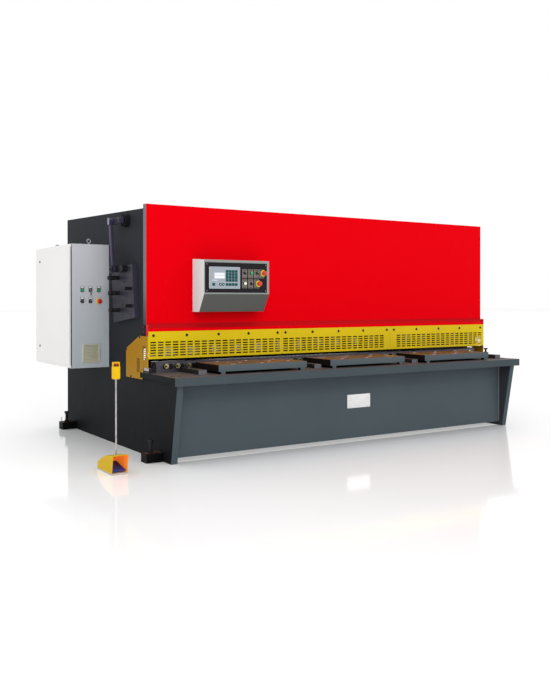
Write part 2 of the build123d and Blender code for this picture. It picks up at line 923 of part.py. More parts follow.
# Foot switch: base, hood, treadle, and a post with a shrouded stop button
hood_x0 = hood_centre_x - hood_width / 2
hood_x1 = hood_centre_x + hood_width / 2
hood_outline = [
    (hood_front_foot, pedal_base),
    (hood_front_top, hood_top_front),
    (hood_top_mid_y, hood_top_mid),
    (hood_back_y, hood_back_top),
    (hood_back_y, pedal_base),
]
cut_outline = [
    (hood_front_foot - hood_mouth, pedal_base - 1),
    (hood_front_top - hood_mouth, hood_top_front + hood_sheet),
    (hood_top_mid_y, hood_top_mid - hood_sheet),
    (hood_back_y - hood_sheet, hood_back_top - hood_sheet),
    (hood_back_y - hood_sheet, pedal_base - 1),
]
hood = profile_x(hood_outline, hood_x0, hood_x1)
hood -= profile_x(cut_outline, hood_x0 + hood_sheet, hood_x1 - hood_sheet)
treadle_axis_y = hood_front_foot + treadle_pin_back
treadle_axis_z = pedal_base + treadle_pin_height
hood -= rod_x(treadle_pin_r + link_pin_clear, hood_x0 - 1, hood_x1 + 1, treadle_axis_y, treadle_axis_z)
save("pedal_hood", hood)
base_front = hood_front_foot - pedal_base_front
save("pedal_base", block(hood_x0, hood_x1, base_front, hood_back_y, floor_z, pedal_base))
treadle_half = treadle_thickness / 2
treadle = profile_x(
    [
        (treadle_axis_y - treadle_thickness, treadle_axis_z - treadle_half),
        (treadle_axis_y - treadle_thickness, treadle_axis_z + treadle_half),
        (treadle_axis_y + treadle_length, treadle_axis_z + treadle_rise + treadle_half),
        (treadle_axis_y + treadle_length, treadle_axis_z + treadle_rise - treadle_half),
    ],
    hood_x0 + hood_sheet + treadle_clear,
    hood_x1 - hood_sheet - treadle_clear,
)
treadle += rod_x(treadle_pin_r, hood_x0, hood_x1, treadle_axis_y, treadle_axis_z)
save("pedal_treadle", treadle)
hood_slope = (hood_top_mid - hood_top_front) / (hood_top_mid_y - hood_front_top)
post_foot_z = hood_top_front + hood_slope * (post_y + post_r - hood_front_top)
post = rod_z(post_r, hood_centre_x, post_y, post_foot_z, post_top)
post -= profile_x(hood_outline, hood_x0, hood_x1)
save("stop_post", post)
stop_y = at_y(post_y)
seat_z = post_top + stop_box_height
stop_box = Box(stop_box_width, stop_box_depth, stop_box_height)
stop_box = Pos(hood_centre_x, stop_y, post_top + stop_box_height / 2) * stop_box
stop_box = fillet(stop_box.edges().filter_by(Axis.Z), stop_box_corner)
shroud_top = seat_z + shroud_height
shroud = Box(stop_box_width - 2 * shroud_inset, stop_box_depth - 2 * shroud_inset, shroud_height)
shroud = Pos(hood_centre_x, stop_y, seat_z + shroud_height / 2) * shroud
shroud -= rod_z(shroud_bore_r, hood_centre_x, post_y, seat_z, shroud_top + 1)
window_x0 = hood_centre_x - shroud_window
window_x1 = hood_centre_x + shroud_bore_r
window_front = post_y - stop_box_depth / 2
shroud -= block(window_x0, window_x1, window_front, post_y, seat_z, shroud_top - shroud_bar)
stop_box += shroud
stop_box -= rod_z(button_hole_r, hood_centre_x, post_y, seat_z - button_well, seat_z + 1)
save("stop_box", stop_box)
head_low = seat_z + stop_stand - post_stop_drop
post_stop = rod_z(stop_stem_r, hood_centre_x, post_y, seat_z + button_seat, head_low)
post_stop += rod_z(stop_head_r, hood_centre_x, post_y, head_low, head_low + stop_head_height)
save("post_stop_button", post_stop)

# Rear: tie beam, oil tank on its shelf, motor, and the back gauge
tie_back = side_back - tie_from_back
tie_low = tie_centre_z - tie_half_height
save(
    "rear_tie_beam",
    block(-inner_x, inner_x, tie_back - tie_thickness, tie_back, tie_low, tie_low + 2 * tie_half_height),
)
shelf_front = tank_front_y - shelf_margin
shelf_back = tank_back_y + shelf_margin
tank = block(-inner_x, inner_x, shelf_front, shelf_back, tank_bottom - shelf_thickness, tank_bottom)
tank += block(-tank_half_length, tank_half_length, tank_front_y, tank_back_y, tank_bottom, tank_top)
save("oil_tank", tank)
motor_y = (tank_front_y + tank_back_y) / 2
motor_z = tank_bottom + motor_level
motor_x0 = tank_half_length + motor_gap
motor_x1 = motor_x0 + motor_length
foot_top = tank_bottom + motor_foot_height
motor = rod_x(motor_r, motor_x0, motor_x1, motor_y, motor_z)
motor += block(
    motor_x0 + motor_gap,
    motor_x1 - motor_gap,
    motor_y - motor_foot_half,
    motor_y + motor_foot_half,
    tank_bottom,
    foot_top,
)
motor += rod_x(coupling_r, tank_half_length, motor_x0 + 1, motor_y, motor_z)
save("pump_motor", motor)
gauge_back = gauge_y + gauge_thickness
gauge = block(-gauge_half_length, gauge_half_length, gauge_y, gauge_back, gauge_bottom, gauge_top)
for side in (-1, 1):
    centre_x = side * gauge_x
    gauge += block(
        centre_x - hanger_half,
        centre_x + hanger_half,
        gauge_y,
        gauge_y + hanger_depth,
        gauge_top - 1,
        rail_bottom,
    )
    gauge += block(
        centre_x - rail_half, centre_x + rail_half, beam_back, rail_back, rail_bottom, rail_top
    )
save("back_gauge", gauge)
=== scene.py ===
"""Looks of a hydraulic plate shear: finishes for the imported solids, and the small fittings they carry."""

import json
import math

import bmesh
import bpy
import numpy as np
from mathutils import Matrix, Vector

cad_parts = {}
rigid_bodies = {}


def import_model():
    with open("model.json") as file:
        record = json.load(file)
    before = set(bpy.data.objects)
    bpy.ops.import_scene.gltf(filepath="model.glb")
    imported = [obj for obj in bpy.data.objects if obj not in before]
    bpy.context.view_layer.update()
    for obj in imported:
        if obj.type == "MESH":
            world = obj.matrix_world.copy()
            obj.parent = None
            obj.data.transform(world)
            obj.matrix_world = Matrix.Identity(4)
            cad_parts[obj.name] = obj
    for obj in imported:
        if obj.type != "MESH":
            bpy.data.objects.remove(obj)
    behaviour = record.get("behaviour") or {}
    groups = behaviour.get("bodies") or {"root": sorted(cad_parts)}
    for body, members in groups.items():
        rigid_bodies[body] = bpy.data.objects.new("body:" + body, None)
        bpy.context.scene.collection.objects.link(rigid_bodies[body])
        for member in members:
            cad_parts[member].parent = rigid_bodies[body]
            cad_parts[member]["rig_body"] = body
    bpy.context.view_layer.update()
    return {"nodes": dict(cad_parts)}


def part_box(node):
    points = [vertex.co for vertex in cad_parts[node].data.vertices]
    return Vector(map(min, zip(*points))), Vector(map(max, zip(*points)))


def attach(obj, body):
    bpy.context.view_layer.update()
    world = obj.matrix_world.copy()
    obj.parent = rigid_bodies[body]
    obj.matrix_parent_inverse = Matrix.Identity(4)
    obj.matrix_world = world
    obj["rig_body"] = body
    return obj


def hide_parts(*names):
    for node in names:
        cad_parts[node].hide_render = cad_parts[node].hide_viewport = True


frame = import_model()

bl_info = {
    "name": "Plate Shear Looks",
    "version": (1, 0, 0),
    "blender": (4, 5, 0),
    "location": "View3D > Sidebar > Shear",
    "description": "Paints a hydraulic plate shear and adds its small fittings",
    "category": "Object",
}

# Distances back are measured from the front cover's face, as in the solid model
COVER_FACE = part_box("control_box")[1].y
TABLE_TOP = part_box("worktable")[1].z
GUARD_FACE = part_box("left_finger_guard")[0].y
LEFT_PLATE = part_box("left_side_frame")[0].x
RIGHT_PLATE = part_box("right_side_frame")[1].x

# Pins of the blade gap linkage: distance behind the cover's face, and height
UPPER_PIVOT = (0.490, 2.140)
UPPER_PIN = (0.640, 2.140)
LOWER_PIVOT = (0.430, 1.685)
LOWER_PIN = (0.580, 1.685)

# Camera that stands where the photograph was taken, turned in radians
VIEW_FROM = (-5.1817, -7.1831, 1.3822)
VIEW_TURN = (math.pi / 2 - 0.0058, 0.0006, -0.5371)
VIEW_SHIFT = (0.0820, -0.0630)
SENSOR = 36

# Finishes by their short names, filled by the first operator
finishes = {}


def back(distance):
    """Row-frame Y of a point that lies this far behind the cover's face."""
    return COVER_FACE + distance


def spot(x, place):
    """Point at x, over a place given as its distance behind the cover's face and its height."""
    distance, height = place
    return (x, back(distance), height)


def linear(red, green, blue, alpha=1.0):
    """Screen colour from 0 to 255 as a linear colour: each share to the power 2.4 after the usual offset."""
    shares = np.array([red, green, blue]) / 255.0
    bright = ((shares + 0.055) / 1.055) ** 2.4
    return (*np.where(shares <= 0.04045, shares / 12.92, bright).tolist(), alpha)


# Mesh making
FACINGS = {
    "front": ((1, 0, 0), (0, 0, 1), (0, -1, 0)),
    "back": ((-1, 0, 0), (0, 0, 1), (0, 1, 0)),
    "left": ((0, -1, 0), (0, 0, 1), (-1, 0, 0)),
    "right": ((0, 1, 0), (0, 0, 1), (1, 0, 0)),
    "up": ((1, 0, 0), (0, 1, 0), (0, 0, 1)),
}


def tube_faces(rows, columns, closed=True):
    """Quads between neighbouring rings: corners (r, c), (r, c+1), (r+1, c+1), (r+1, c), and c wraps round."""
    r, c = np.meshgrid(np.arange(rows - 1), np.arange(columns if closed else columns - 1), indexing="ij")
    n = (c + 1) % columns
    quads = np.stack(
        [r * columns + c, r * columns + n, (r + 1) * columns + n, (r + 1) * columns + c], axis=-1
    )
    return quads.reshape(-1, 4)


def turned(profile, steps=24):
    """Shape turned about +Z: each (radius, height) goes round a circle, x = r cos a and y = r sin a.

    The profile runs from the foot to the tip, and a radius of nothing closes it in a point."""
    radii, heights = np.array(profile, float).T
    angles = np.linspace(0, 2 * math.pi, steps, endpoint=False)
    x = radii[:, None] * np.cos(angles)
    y = radii[:, None] * np.sin(angles)
    z = np.broadcast_to(heights[:, None], x.shape)
    return np.stack([x, y, z], axis=-1).reshape(-1, 3), tube_faces(len(radii), steps)


def hoop(profile, steps=24):
    """Closed ring about +Z: the profile, outer side first, is joined to its own start before it is turned."""
    return turned([*profile, profile[0]], steps)


def corner_arcs(half_x, half_y, r, steps):
    """Four quarter circles of radius r, one in each corner of a rectangle, in their order round it."""
    quarter = np.linspace(0, math.pi / 2, steps)
    arcs = []
    for k, (sx, sy) in enumerate(((1, 1), (-1, 1), (-1, -1), (1, -1))):
        a = quarter + k * math.pi / 2
        arcs.append(np.stack([sx * (half_x - r) + r * np.cos(a), sy * (half_y - r) + r * np.sin(a)], axis=-1))
    return arcs


def moulded(width, depth, corner, profile, steps=6):
    """Shape with a rounded rectangle for its outline: each (inset, height) draws it in and lifts it.

    A corner's points lie on a quarter circle about (half width - corner, half depth - corner), made smaller
    by the inset, and a ring drawn in to its middle closes the foot and the tip."""
    middle = width + depth
    profile = [(middle, profile[0][1]), *profile, (middle, profile[-1][1])]
    rings = []
    for inset, height in profile:
        half_x = max(width / 2 - inset, 0.0)
        half_y = max(depth / 2 - inset, 0.0)
        r = min(max(corner - inset, 0.0), half_x, half_y)
        ring = np.concatenate(corner_arcs(half_x, half_y, r, steps))
        rings.append(np.column_stack([ring, np.full(len(ring), height)]))
    points = np.concatenate(rings)
    return points, tube_faces(len(profile), 4 * steps)


def seated(shape, origin, facing):
    """Turns a shape so that its height points along a facing, then moves its foot to the origin."""
    points, faces = shape
    return points @ np.array(FACINGS[facing], float) + np.array(origin, float), faces


def gathered(shapes):
    """Several shapes as one: their points in a row, each face's numbers moved on by the points before it."""
    points = np.concatenate([p for p, _ in shapes])
    starts = np.cumsum([0] + [len(p) for p, _ in shapes[:-1]])
    faces = np.concatenate([f + s for (_, f), s in zip(shapes, starts)])
    return points, faces


def repeated(shape, places, facing="up"):
    """One shape at many places: turned to a facing, then every place is added to every point in one sum."""
    points, faces = seated(shape, (0, 0, 0), facing)
    places = np.array(places, float)
    every = (places[:, None, :] + points[None, :, :]).reshape(-1, 3)
    shifts = (np.arange(len(places)) * len(points))[:, None, None]
    return every, (faces[None, :, :] + shifts).reshape(-1, 4)


def piece(name, shape, finish, body="frame", smooth=True):
    """Mesh object from a shape: welded where its rings meet, painted with a finish, riding on a body."""
    points, faces = shape
    mesh = bpy.data.meshes.new(name)
    mesh.vertices.add(len(points))
    mesh.vertices.foreach_set("co", points.astype(np.float32).ravel())
    mesh.loops.add(faces.size)
    mesh.loops.foreach_set("vertex_index", faces.astype(np.int32).ravel())
    mesh.polygons.add(len(faces))
    mesh.polygons.foreach_set("loop_start", np.arange(0, faces.size, 4, dtype=np.int32))
    mesh.update(calc_edges=True)
    welded = bmesh.new()
    welded.from_mesh(mesh)
    bmesh.ops.remove_doubles(welded, verts=welded.verts, dist=0.00001)
    bmesh.ops.recalc_face_normals(welded, faces=welded.faces)
    welded.to_mesh(mesh)
    welded.free()
    made = bpy.data.objects.new(name, mesh)
    bpy.context.scene.collection.objects.link(made)
    if smooth:
        mesh.shade_smooth()
        mesh.set_sharp_from_angle(angle=math.radians(35))
    mesh.materials.append(finishes[finish])
    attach(made, body)
    return made


# Shader making
class Value:
    """A socket's value in an expression; each operator adds one Math node."""

    def __init__(self, finish, socket):
        self.finish = finish
        self.socket = socket

    def join(self, operation, first, second):
        return self.finish.node("ShaderNodeMath", {"operation": operation}, {0: first, 1: second})

    def __add__(self, other):
        return self.join("ADD", self, other)

    def __radd__(self, other):
        return self.join("ADD", other, self)

    def __sub__(self, other):
        return self.join("SUBTRACT", self, other)

    def __rsub__(self, other):
        return self.join("SUBTRACT", other, self)

    def __mul__(self, other):
        return self.join("MULTIPLY", self, other)

    def __rmul__(self, other):
        return self.join("MULTIPLY", other, self)


class Finish:
    """One material's nodes, made by method calls and expressions on their values."""

    def __init__(self, name):
        self.material = bpy.data.materials.new(name)
        self.material.use_nodes = True
        self.tree = self.material.node_tree
        self.shader = self.tree.nodes["Principled BSDF"]

    def node(self, kind, settings=None, inputs=None, output=0):
        """Adds any node: its settings first, then the values or links of its sockets."""
        made = self.tree.nodes.new(kind)
        for key, value in (settings or {}).items():
            if key == "stops":
                ramp = made.color_ramp.elements
                while len(ramp) < len(value):
                    ramp.new(0.5)
                for element, (position, colour) in zip(ramp, value):
                    element.position = position
                    element.color = colour
            else:
                setattr(made, key, value)
        for key, value in (inputs or {}).items():
            self.feed(made.inputs[key], value)
        return Value(self, made.outputs[output])

    def feed(self, socket, value):
        if isinstance(value, Value):
            self.tree.links.new(value.socket, socket)
        else:
            socket.default_value = value

    def place(self, stretch):
        where = self.node("ShaderNodeTexCoord", output="Object")
        return self.node("ShaderNodeMapping", None, {"Vector": where, "Scale": stretch})

    def noise(self, scale, detail=2.0, roughness=0.5, stretch=(1, 1, 1), distortion=0.0):
        sockets = {
            "Vector": self.place(stretch),
            "Scale": scale,
            "Detail": detail,
            "Roughness": roughness,
            "Distortion": distortion,
        }
        return self.node("ShaderNodeTexNoise", None, sockets)

    def axis(self, source, name):
        """One part, X, Y or Z, of the Object coordinates or of the Normal."""
        vector = self.node("ShaderNodeTexCoord", output=source)
        return self.node("ShaderNodeSeparateXYZ", None, {0: vector}, output=name)

    def ramp(self, value, low, high):
        """Smooth step from nothing at low to one at high."""
        sockets = {"Value": value, "From Min": low, "From Max": high}
        return self.node("ShaderNodeMapRange", {"interpolation_type": "SMOOTHSTEP"}, sockets)

    def mix(self, share, first, second, blend="MIX"):
        settings = {"data_type": "RGBA", "blend_type": blend}
        return self.node("ShaderNodeMix", settings, {0: share, 6: first, 7: second}, output=2)

    def bump(self, height, distance):
        return self.node("ShaderNodeBump", None, {"Height": height, "Distance": distance, "Strength": 1.0})

    def done(self, **sockets):
        """Feeds the shader's sockets, with underscores for the spaces in names, and returns the material."""
        for name, value in sockets.items():
            self.feed(self.shader.inputs[name.replace("_", " ")], value)
        return self.material


def shade(colour, factor):
    return (*[min(c * factor, 1.0) for c in colour[:3]], 1.0)


def enamel(name, colour, gloss=0.4, spread=0.10, peel=0.00006, shine=0.4, coat=0.0, foot=None):
    """Machine paint: faint clouding and an orange-peel skin.

    A foot gives two heights and the factors of red, green and blue by which the paint darkens below them."""
    f = Finish(name)
    cloud = f.noise(1.7, 4.0, 0.55)
    fine = f.noise(260.0, 2.0, 0.5)
    streak = f.noise(9.0, 5.0, 0.7)
    body = f.mix(f.ramp(cloud, 0.3, 0.7), shade(colour, 1 - spread), shade(colour, 1 + spread))
    if foot:
        low, high, dull = foot
        dark = (*[c * d for c, d in zip(colour, dull)], 1.0)
        body = f.mix(1.0 - f.ramp(f.axis("Object", "Z"), low, high), body, dark)
    body = f.mix(f.ramp(streak, 0.62, 0.8) * 0.10, body, shade(colour, 1.5))
    rough = gloss + (streak - 0.5) * 0.14 + (fine - 0.5) * 0.05
    return f.done(
        Base_Color=body,
        Roughness=rough,
        Normal=f.bump(fine, peel),
        Specular_IOR_Level=shine,
        Coat_Weight=coat,
        Coat_Roughness=0.15,
    )


def two_tone_enamel(
    name, colour, side_colour, gloss=0.4, shine=0.1, spread=0.04, under=None, fade=None, band=None
):
    """Paint with one colour along the machine and another on the faces across it, and if asked for under it.
    On several parts the colour across or under stands in for light: painted shade where it is darker, painted
    light where it is lighter.

    A fade changes the faces across it by a factor below a height, and a band has another colour between two
    heights."""
    f = Finish(name)
    across = f.axis("Normal", "X")
    cloud = f.noise(1.1, 3.0, 0.5)
    fine = f.noise(240.0, 2.0, 0.5)
    smear = f.noise(14.0, 6.0, 0.7, stretch=(1, 1, 0.3))
    height = f.axis("Object", "Z")
    body, side = colour, side_colour
    if band:
        start, full, ease, end, other = band
        share = f.ramp(height, start, full) * (1.0 - f.ramp(height, ease, end))
        body = f.mix(share, colour, other)
    if under:
        body = f.mix(f.ramp(f.axis("Normal", "Z") * -1.0, 0.2, 0.4), body, under)
    if fade:
        low, high, dull = fade
        side = f.mix(f.ramp(height, low, high), shade(side_colour, dull), side_colour)
    body = f.mix(f.ramp(across * across, 0.5, 0.8), body, side)
    shadow = f.mix(f.ramp(cloud, 0.3, 0.7), (1 - spread, 1 - spread, 1 - spread, 1), (1, 1, 1, 1))
    body = f.mix(1.0, body, shadow, "MULTIPLY")
    body = f.mix(f.ramp(smear, 0.6, 0.85) * spread * 2.0, body, (0.5, 0.5, 0.5, 1))
    return f.done(
        Base_Color=body,
        Roughness=gloss + (smear - 0.5) * 0.14,
        Normal=f.bump(fine, 0.00004),
        Specular_IOR_Level=shine,
    )


def worn_top(name, colour, side_colour, worn, dark, gloss=0.45, amount=0.75, scale=6.0):
    """Machine paint with ends in a second colour, painted shade where it is darker, and an upward face rubbed
    and stained by sheets sliding over it.
    """
    f = Finish(name)
    across = f.axis("Normal", "X")
    up = f.ramp(f.axis("Normal", "Z"), 0.8, 0.95)
    swirl = f.noise(scale, 5.0, 0.6, stretch=(0.5, 1.6, 1), distortion=1.2)
    stain = f.noise(scale * 2.3, 6.0, 0.65, stretch=(0.4, 1.5, 1))
    scratch = f.noise(60.0, 3.0, 0.6, stretch=(0.6, 18, 1))
    fine = f.noise(220.0, 2.0, 0.5)
    rubbed = f.mix(f.ramp(swirl, 0.35, 0.65), worn, dark)
    rubbed = f.mix(f.ramp(scratch, 0.6, 0.75) * 0.35, rubbed, shade(worn, 1.7))
    share = up * (amount + (f.ramp(stain, 0.4, 0.6) - 0.5) * 0.4)
    cloud = f.noise(1.7, 4.0, 0.55)
    paint = f.mix(f.ramp(cloud, 0.3, 0.7), shade(colour, 0.94), shade(colour, 1.03))
    # The side colour on the end faces is painted shade where it is darker than the paint.
    paint = f.mix(f.ramp(across * across, 0.5, 0.8), paint, side_colour)
    return f.done(
        Base_Color=f.mix(share, paint, rubbed),
        Roughness=gloss + (stain - 0.5) * 0.25,
        Normal=f.bump(fine + scratch * up * 0.6, 0.00008),
        Specular_IOR_Level=0.05,
    )


def ground_steel(name, colour, roughness=0.32, stretch=(0.5, 40, 40), spots=0.2):
    """Bare steel with fine grinding lines along one way and a few darker oil spots."""
    f = Finish(name)
    lines = f.noise(26.0, 4.0, 0.6, stretch=stretch)
    oil = f.noise(7.0, 5.0, 0.6)
    body = f.mix(f.ramp(lines, 0.3, 0.7), shade(colour, 0.82), shade(colour, 1.12))
    body = f.mix(f.ramp(oil, 0.55, 0.75) * spots, body, shade(colour, 0.35))
    return f.done(
        Base_Color=body,
        Metallic=1.0,
        Roughness=roughness + (lines - 0.5) * 0.25,
        Normal=f.bump(lines, 0.00004),
    )


def turned_metal(name, colour, roughness=0.28, metallic=1.0):
    """Machined metal with close tool marks and a faint stain."""
    f = Finish(name)
    marks = f.noise(320.0, 2.0, 0.5, stretch=(1, 1, 5))
    stain = f.noise(23.0, 4.0, 0.6)
    body = f.mix(f.ramp(stain, 0.35, 0.7), shade(colour, 1.08), shade(colour, 0.72))
    return f.done(
        Base_Color=body,
        Metallic=metallic,
        Roughness=roughness + (stain - 0.5) * 0.2,
        Normal=f.bump(marks, 0.00003),
    )


def plastic(name, colour, roughness=0.35, grain=0.00003, coat=0.0, spread=0.06, shine=0.45):
    """Moulded plastic: an even colour with a fine spark-eroded grain and a little scuffing."""
    f = Finish(name)
    grains = f.noise(900.0, 2.0, 0.6)
    scuff = f.noise(30.0, 6.0, 0.7)
    body = f.mix(f.ramp(scuff, 0.3, 0.75), shade(colour, 1 + spread), shade(colour, 1 - spread))
    return f.done(
        Base_Color=body,
        Roughness=roughness + (scuff - 0.5) * 0.18,
        Normal=f.bump(grains, grain),
        Coat_Weight=coat,
        Coat_Roughness=0.08,
        Specular_IOR_Level=shine,
    )


def hood_plastic_painted_glow(name, colour, inner, low, high):
    """Moulded hood: one colour outside, and on the faces that look into it a deeper orange, faintly lit, as a
    painted glow that stands in for light bounced inside the hood.
    """
    f = Finish(name)
    grains = f.noise(900.0, 2.0, 0.6)
    scuff = f.noise(30.0, 6.0, 0.7)
    inward = f.axis("Normal", "X") * (f.axis("Object", "X") - (low.x + high.x) / 2) * -1.0
    inward = f.ramp(inward, 0.010, 0.030) + f.ramp(f.axis("Normal", "Z") * -1.0, 0.3, 0.6)
    deep = f.ramp(f.axis("Object", "Y"), low.y + 0.10, low.y + 0.14)
    rear = f.ramp(f.axis("Normal", "Y") * -1.0, 0.5, 0.8) * deep
    share = f.node("ShaderNodeMath", {"operation": "MAXIMUM", "use_clamp": True}, {0: inward, 1: rear})
    body = f.mix(f.ramp(scuff, 0.3, 0.75), shade(colour, 1.06), shade(colour, 0.94))
    return f.done(
        # Painted glow: the inner orange and its emission stand in for light bounced inside the hood, though
        # it is no lamp.
        Base_Color=f.mix(share, body, inner),
        Emission_Color=f.mix(share, (0, 0, 0, 1), shade(inner, 0.26)),
        Emission_Strength=1.0,
        Roughness=0.4 + (scuff - 0.5) * 0.18,
        Normal=f.bump(grains, 0.00004),
        Specular_IOR_Level=0.12,
    )


def oily_casting(name, colour, roughness=0.38, front=None):
    """Dark paint on a flame-cut part, with oil wiped over it and bare metal at rubbed places; a front colour,
    if given, is painted light on the faces along the machine.
    """
    f = Finish(name)
    lumps = f.noise(38.0, 4.0, 0.6)
    wipe = f.noise(6.0, 6.0, 0.65, distortion=0.8)
    rub = f.ramp(f.noise(19.0, 7.0, 0.7), 0.68, 0.8)
    body = f.mix(f.ramp(wipe, 0.35, 0.65), shade(colour, 0.75), shade(colour, 1.35))
    body = f.mix(rub * 0.45, body, (0.20, 0.19, 0.20, 1.0))
    # Painted light: the front colour lifts the faces along the machine as if they were lit more.
    if front:
        across = f.axis("Normal", "X")
        body = f.mix(f.ramp(across * across, 0.5, 0.8), front, body)
    return f.done(
        Base_Color=body,
        Metallic=0.15,
        Roughness=roughness + (wipe - 0.5) * 0.3,
        Normal=f.bump(lumps, 0.0004),
        Specular_IOR_Level=0.45,
    )


def screen(name, colour, line_colour, count):
    """Display glass with faint rows, set by stripes of the object's height."""
    f = Finish(name)
    height = f.axis("Object", "Z")
    rows = f.node("ShaderNodeMath", {"operation": "SINE"}, {0: height * (2 * math.pi * count)})
    band = f.ramp(rows, 0.2, 0.5)
    blotch = f.noise(60.0, 2.0, 0.5)
    return f.done(
        Base_Color=f.mix(band * 0.3, colour, line_colour),
        Roughness=0.12 + blotch * 0.06,
        Coat_Weight=0.5,
        Coat_Roughness=0.05,
    )


# Settings that a user may change
class ShearPaint(bpy.types.PropertyGroup):
    """Colours of the machine's finishes."""

    cover: bpy.props.FloatVectorProperty(
        name="Cover", description="Gloss enamel of the front cover", subtype="COLOR", size=4,
        min=0, max=1, default=linear(229, 0, 14),
    )
    guard: bpy.props.FloatVectorProperty(
        name="Finger guards", description="Gloss enamel of the finger guards", subtype="COLOR", size=4,
        min=0, max=1, default=linear(222, 194, 8),
    )
    # The side guards' colour goes on their faces across the machine: painted shade, a darker copy of the
    # guards' yellow.
    side_guard: bpy.props.FloatVectorProperty(
        name="Side guards", description="Enamel of the side guards", subtype="COLOR", size=4,
        min=0, max=1, default=linear(167, 120, 10),
    )
    # The side frames' colour goes on their faces across the machine: painted shade, a shaded copy of the
    # grey-blue paint.
    frame: bpy.props.FloatVectorProperty(
        name="Frame", description="Dark enamel of the side frames", subtype="COLOR", size=4,
        min=0, max=1, default=linear(46, 48, 53),
    )
    table: bpy.props.FloatVectorProperty(
        name="Table", description="Grey-blue enamel of the table and the apron", subtype="COLOR", size=4,
        min=0, max=1, default=linear(76, 87, 93),
    )
    cabinet: bpy.props.FloatVectorProperty(
        name="Cabinet", description="Light enamel of the electric cabinet", subtype="COLOR", size=4,
        min=0, max=1, default=linear(202, 203, 210),
    )
    # The door's white is painted light: a lit copy of the cabinet's paint, on the face turned to the left.
    door: bpy.props.FloatVectorProperty(
        name="Cabinet door", description="White enamel of the cabinet door", subtype="COLOR", size=4,
        min=0, max=1, default=linear(241, 240, 239),
    )


class ShearLight(bpy.types.PropertyGroup):
    """Studio light and camera."""

    sky: bpy.props.FloatProperty(
        name="Surround", description="Strength of the white surround", default=1.0, min=0, soft_max=3
    )
    key: bpy.props.FloatProperty(
        name="Key light", description="Power of the large soft light at the upper left, in watts",
        default=130, min=0, soft_max=5000,
    )
    lens: bpy.props.FloatProperty(
        name="Lens", description="Focal length in millimetres on a 36 mm frame", default=40.72, min=10,
        max=200,
    )


class ShearFittings(bpy.types.PropertyGroup):
    """Sizes of the small fittings."""

    guard_bolt: bpy.props.FloatProperty(
        name="Guard bolt", description="Radius of the bolt heads along the finger guards",
        default=0.0098, min=0.004, max=0.03, unit="LENGTH",
    )
    guard_bolt_drop: bpy.props.FloatProperty(
        name="Bolt drop", description="How far the bolts sit below the guards' top edge",
        default=0.036, min=0.01, max=0.1, unit="LENGTH",
    )
    ball_ring: bpy.props.FloatProperty(
        name="Ball ring", description="Radius of the steel ring round each ball rest",
        default=0.022, min=0.015, max=0.05, unit="LENGTH",
    )
    key: bpy.props.FloatProperty(
        name="Key", description="Width of a key on the control unit", default=0.029, min=0.01, max=0.04,
        unit="LENGTH",
    )


def settings():
    scene = bpy.context.scene
    return scene.shear_paint, scene.shear_light, scene.shear_fittings


# Solids that each finish goes on, by their names
COATS = {
    "frame": "left_side_frame",
    "frame_right": "right_side_frame",
    "inside": "hold_down_beam swing_beam rear_tie_beam table_rear_wall back_gauge pivot_bearings",
    "foot": "foot_blocks",
    "table": "worktable",
    "apron": "apron",
    "rest": "support_plates",
    "cover": "front_cover",
    "guard": "left_finger_guard middle_finger_guard right_finger_guard",
    "side_guard": "side_guards",
    "knife": "lower_knife upper_knife",
    "block": "knife_block",
    "bar": "table_bars",
    "end_block": "table_end_blocks",
    "cylinder": "hold_down_cylinders ball_rests",
    "brass": "gap_screws",
    "black_bolt": "jack_bolts spring_pins",
    "box": "control_box",
    "panel": "control_panel",
    "unit": "control_unit",
    "black": "panel_selector_left panel_selector_right panel_selector_lower "
        "cabinet_key_switch cabinet_selector_left cabinet_selector_right",
    "green": "panel_start_button cabinet_start_button cabinet_green_button",
    "white": "panel_white_button",
    "red": "panel_stop_upper panel_stop_lower cabinet_stop_button post_stop_button",
    "cabinet": "electric_cabinet",
    "door": "cabinet_door",
    "filter": "cabinet_filter",
    "bolt": "lifting_eyes",
    "linkage": "guide_bracket",
    "lever": "upper_lever",
    "link": "link_rod",
    "joint": "lower_lever",
    "base": "pedal_base",
    "hood": "pedal_hood",
    "switch": "stop_box",
    "treadle": "pedal_treadle",
    "post": "stop_post",
    "tank": "oil_tank",
    "motor": "pump_motor",
}


def coat(name, material):
    """Gives one solid its material."""
    node = frame["nodes"][name]
    node.data.materials.clear()
    node.data.materials.append(material)


def body_of(node):
    return frame["nodes"][node]["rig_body"]


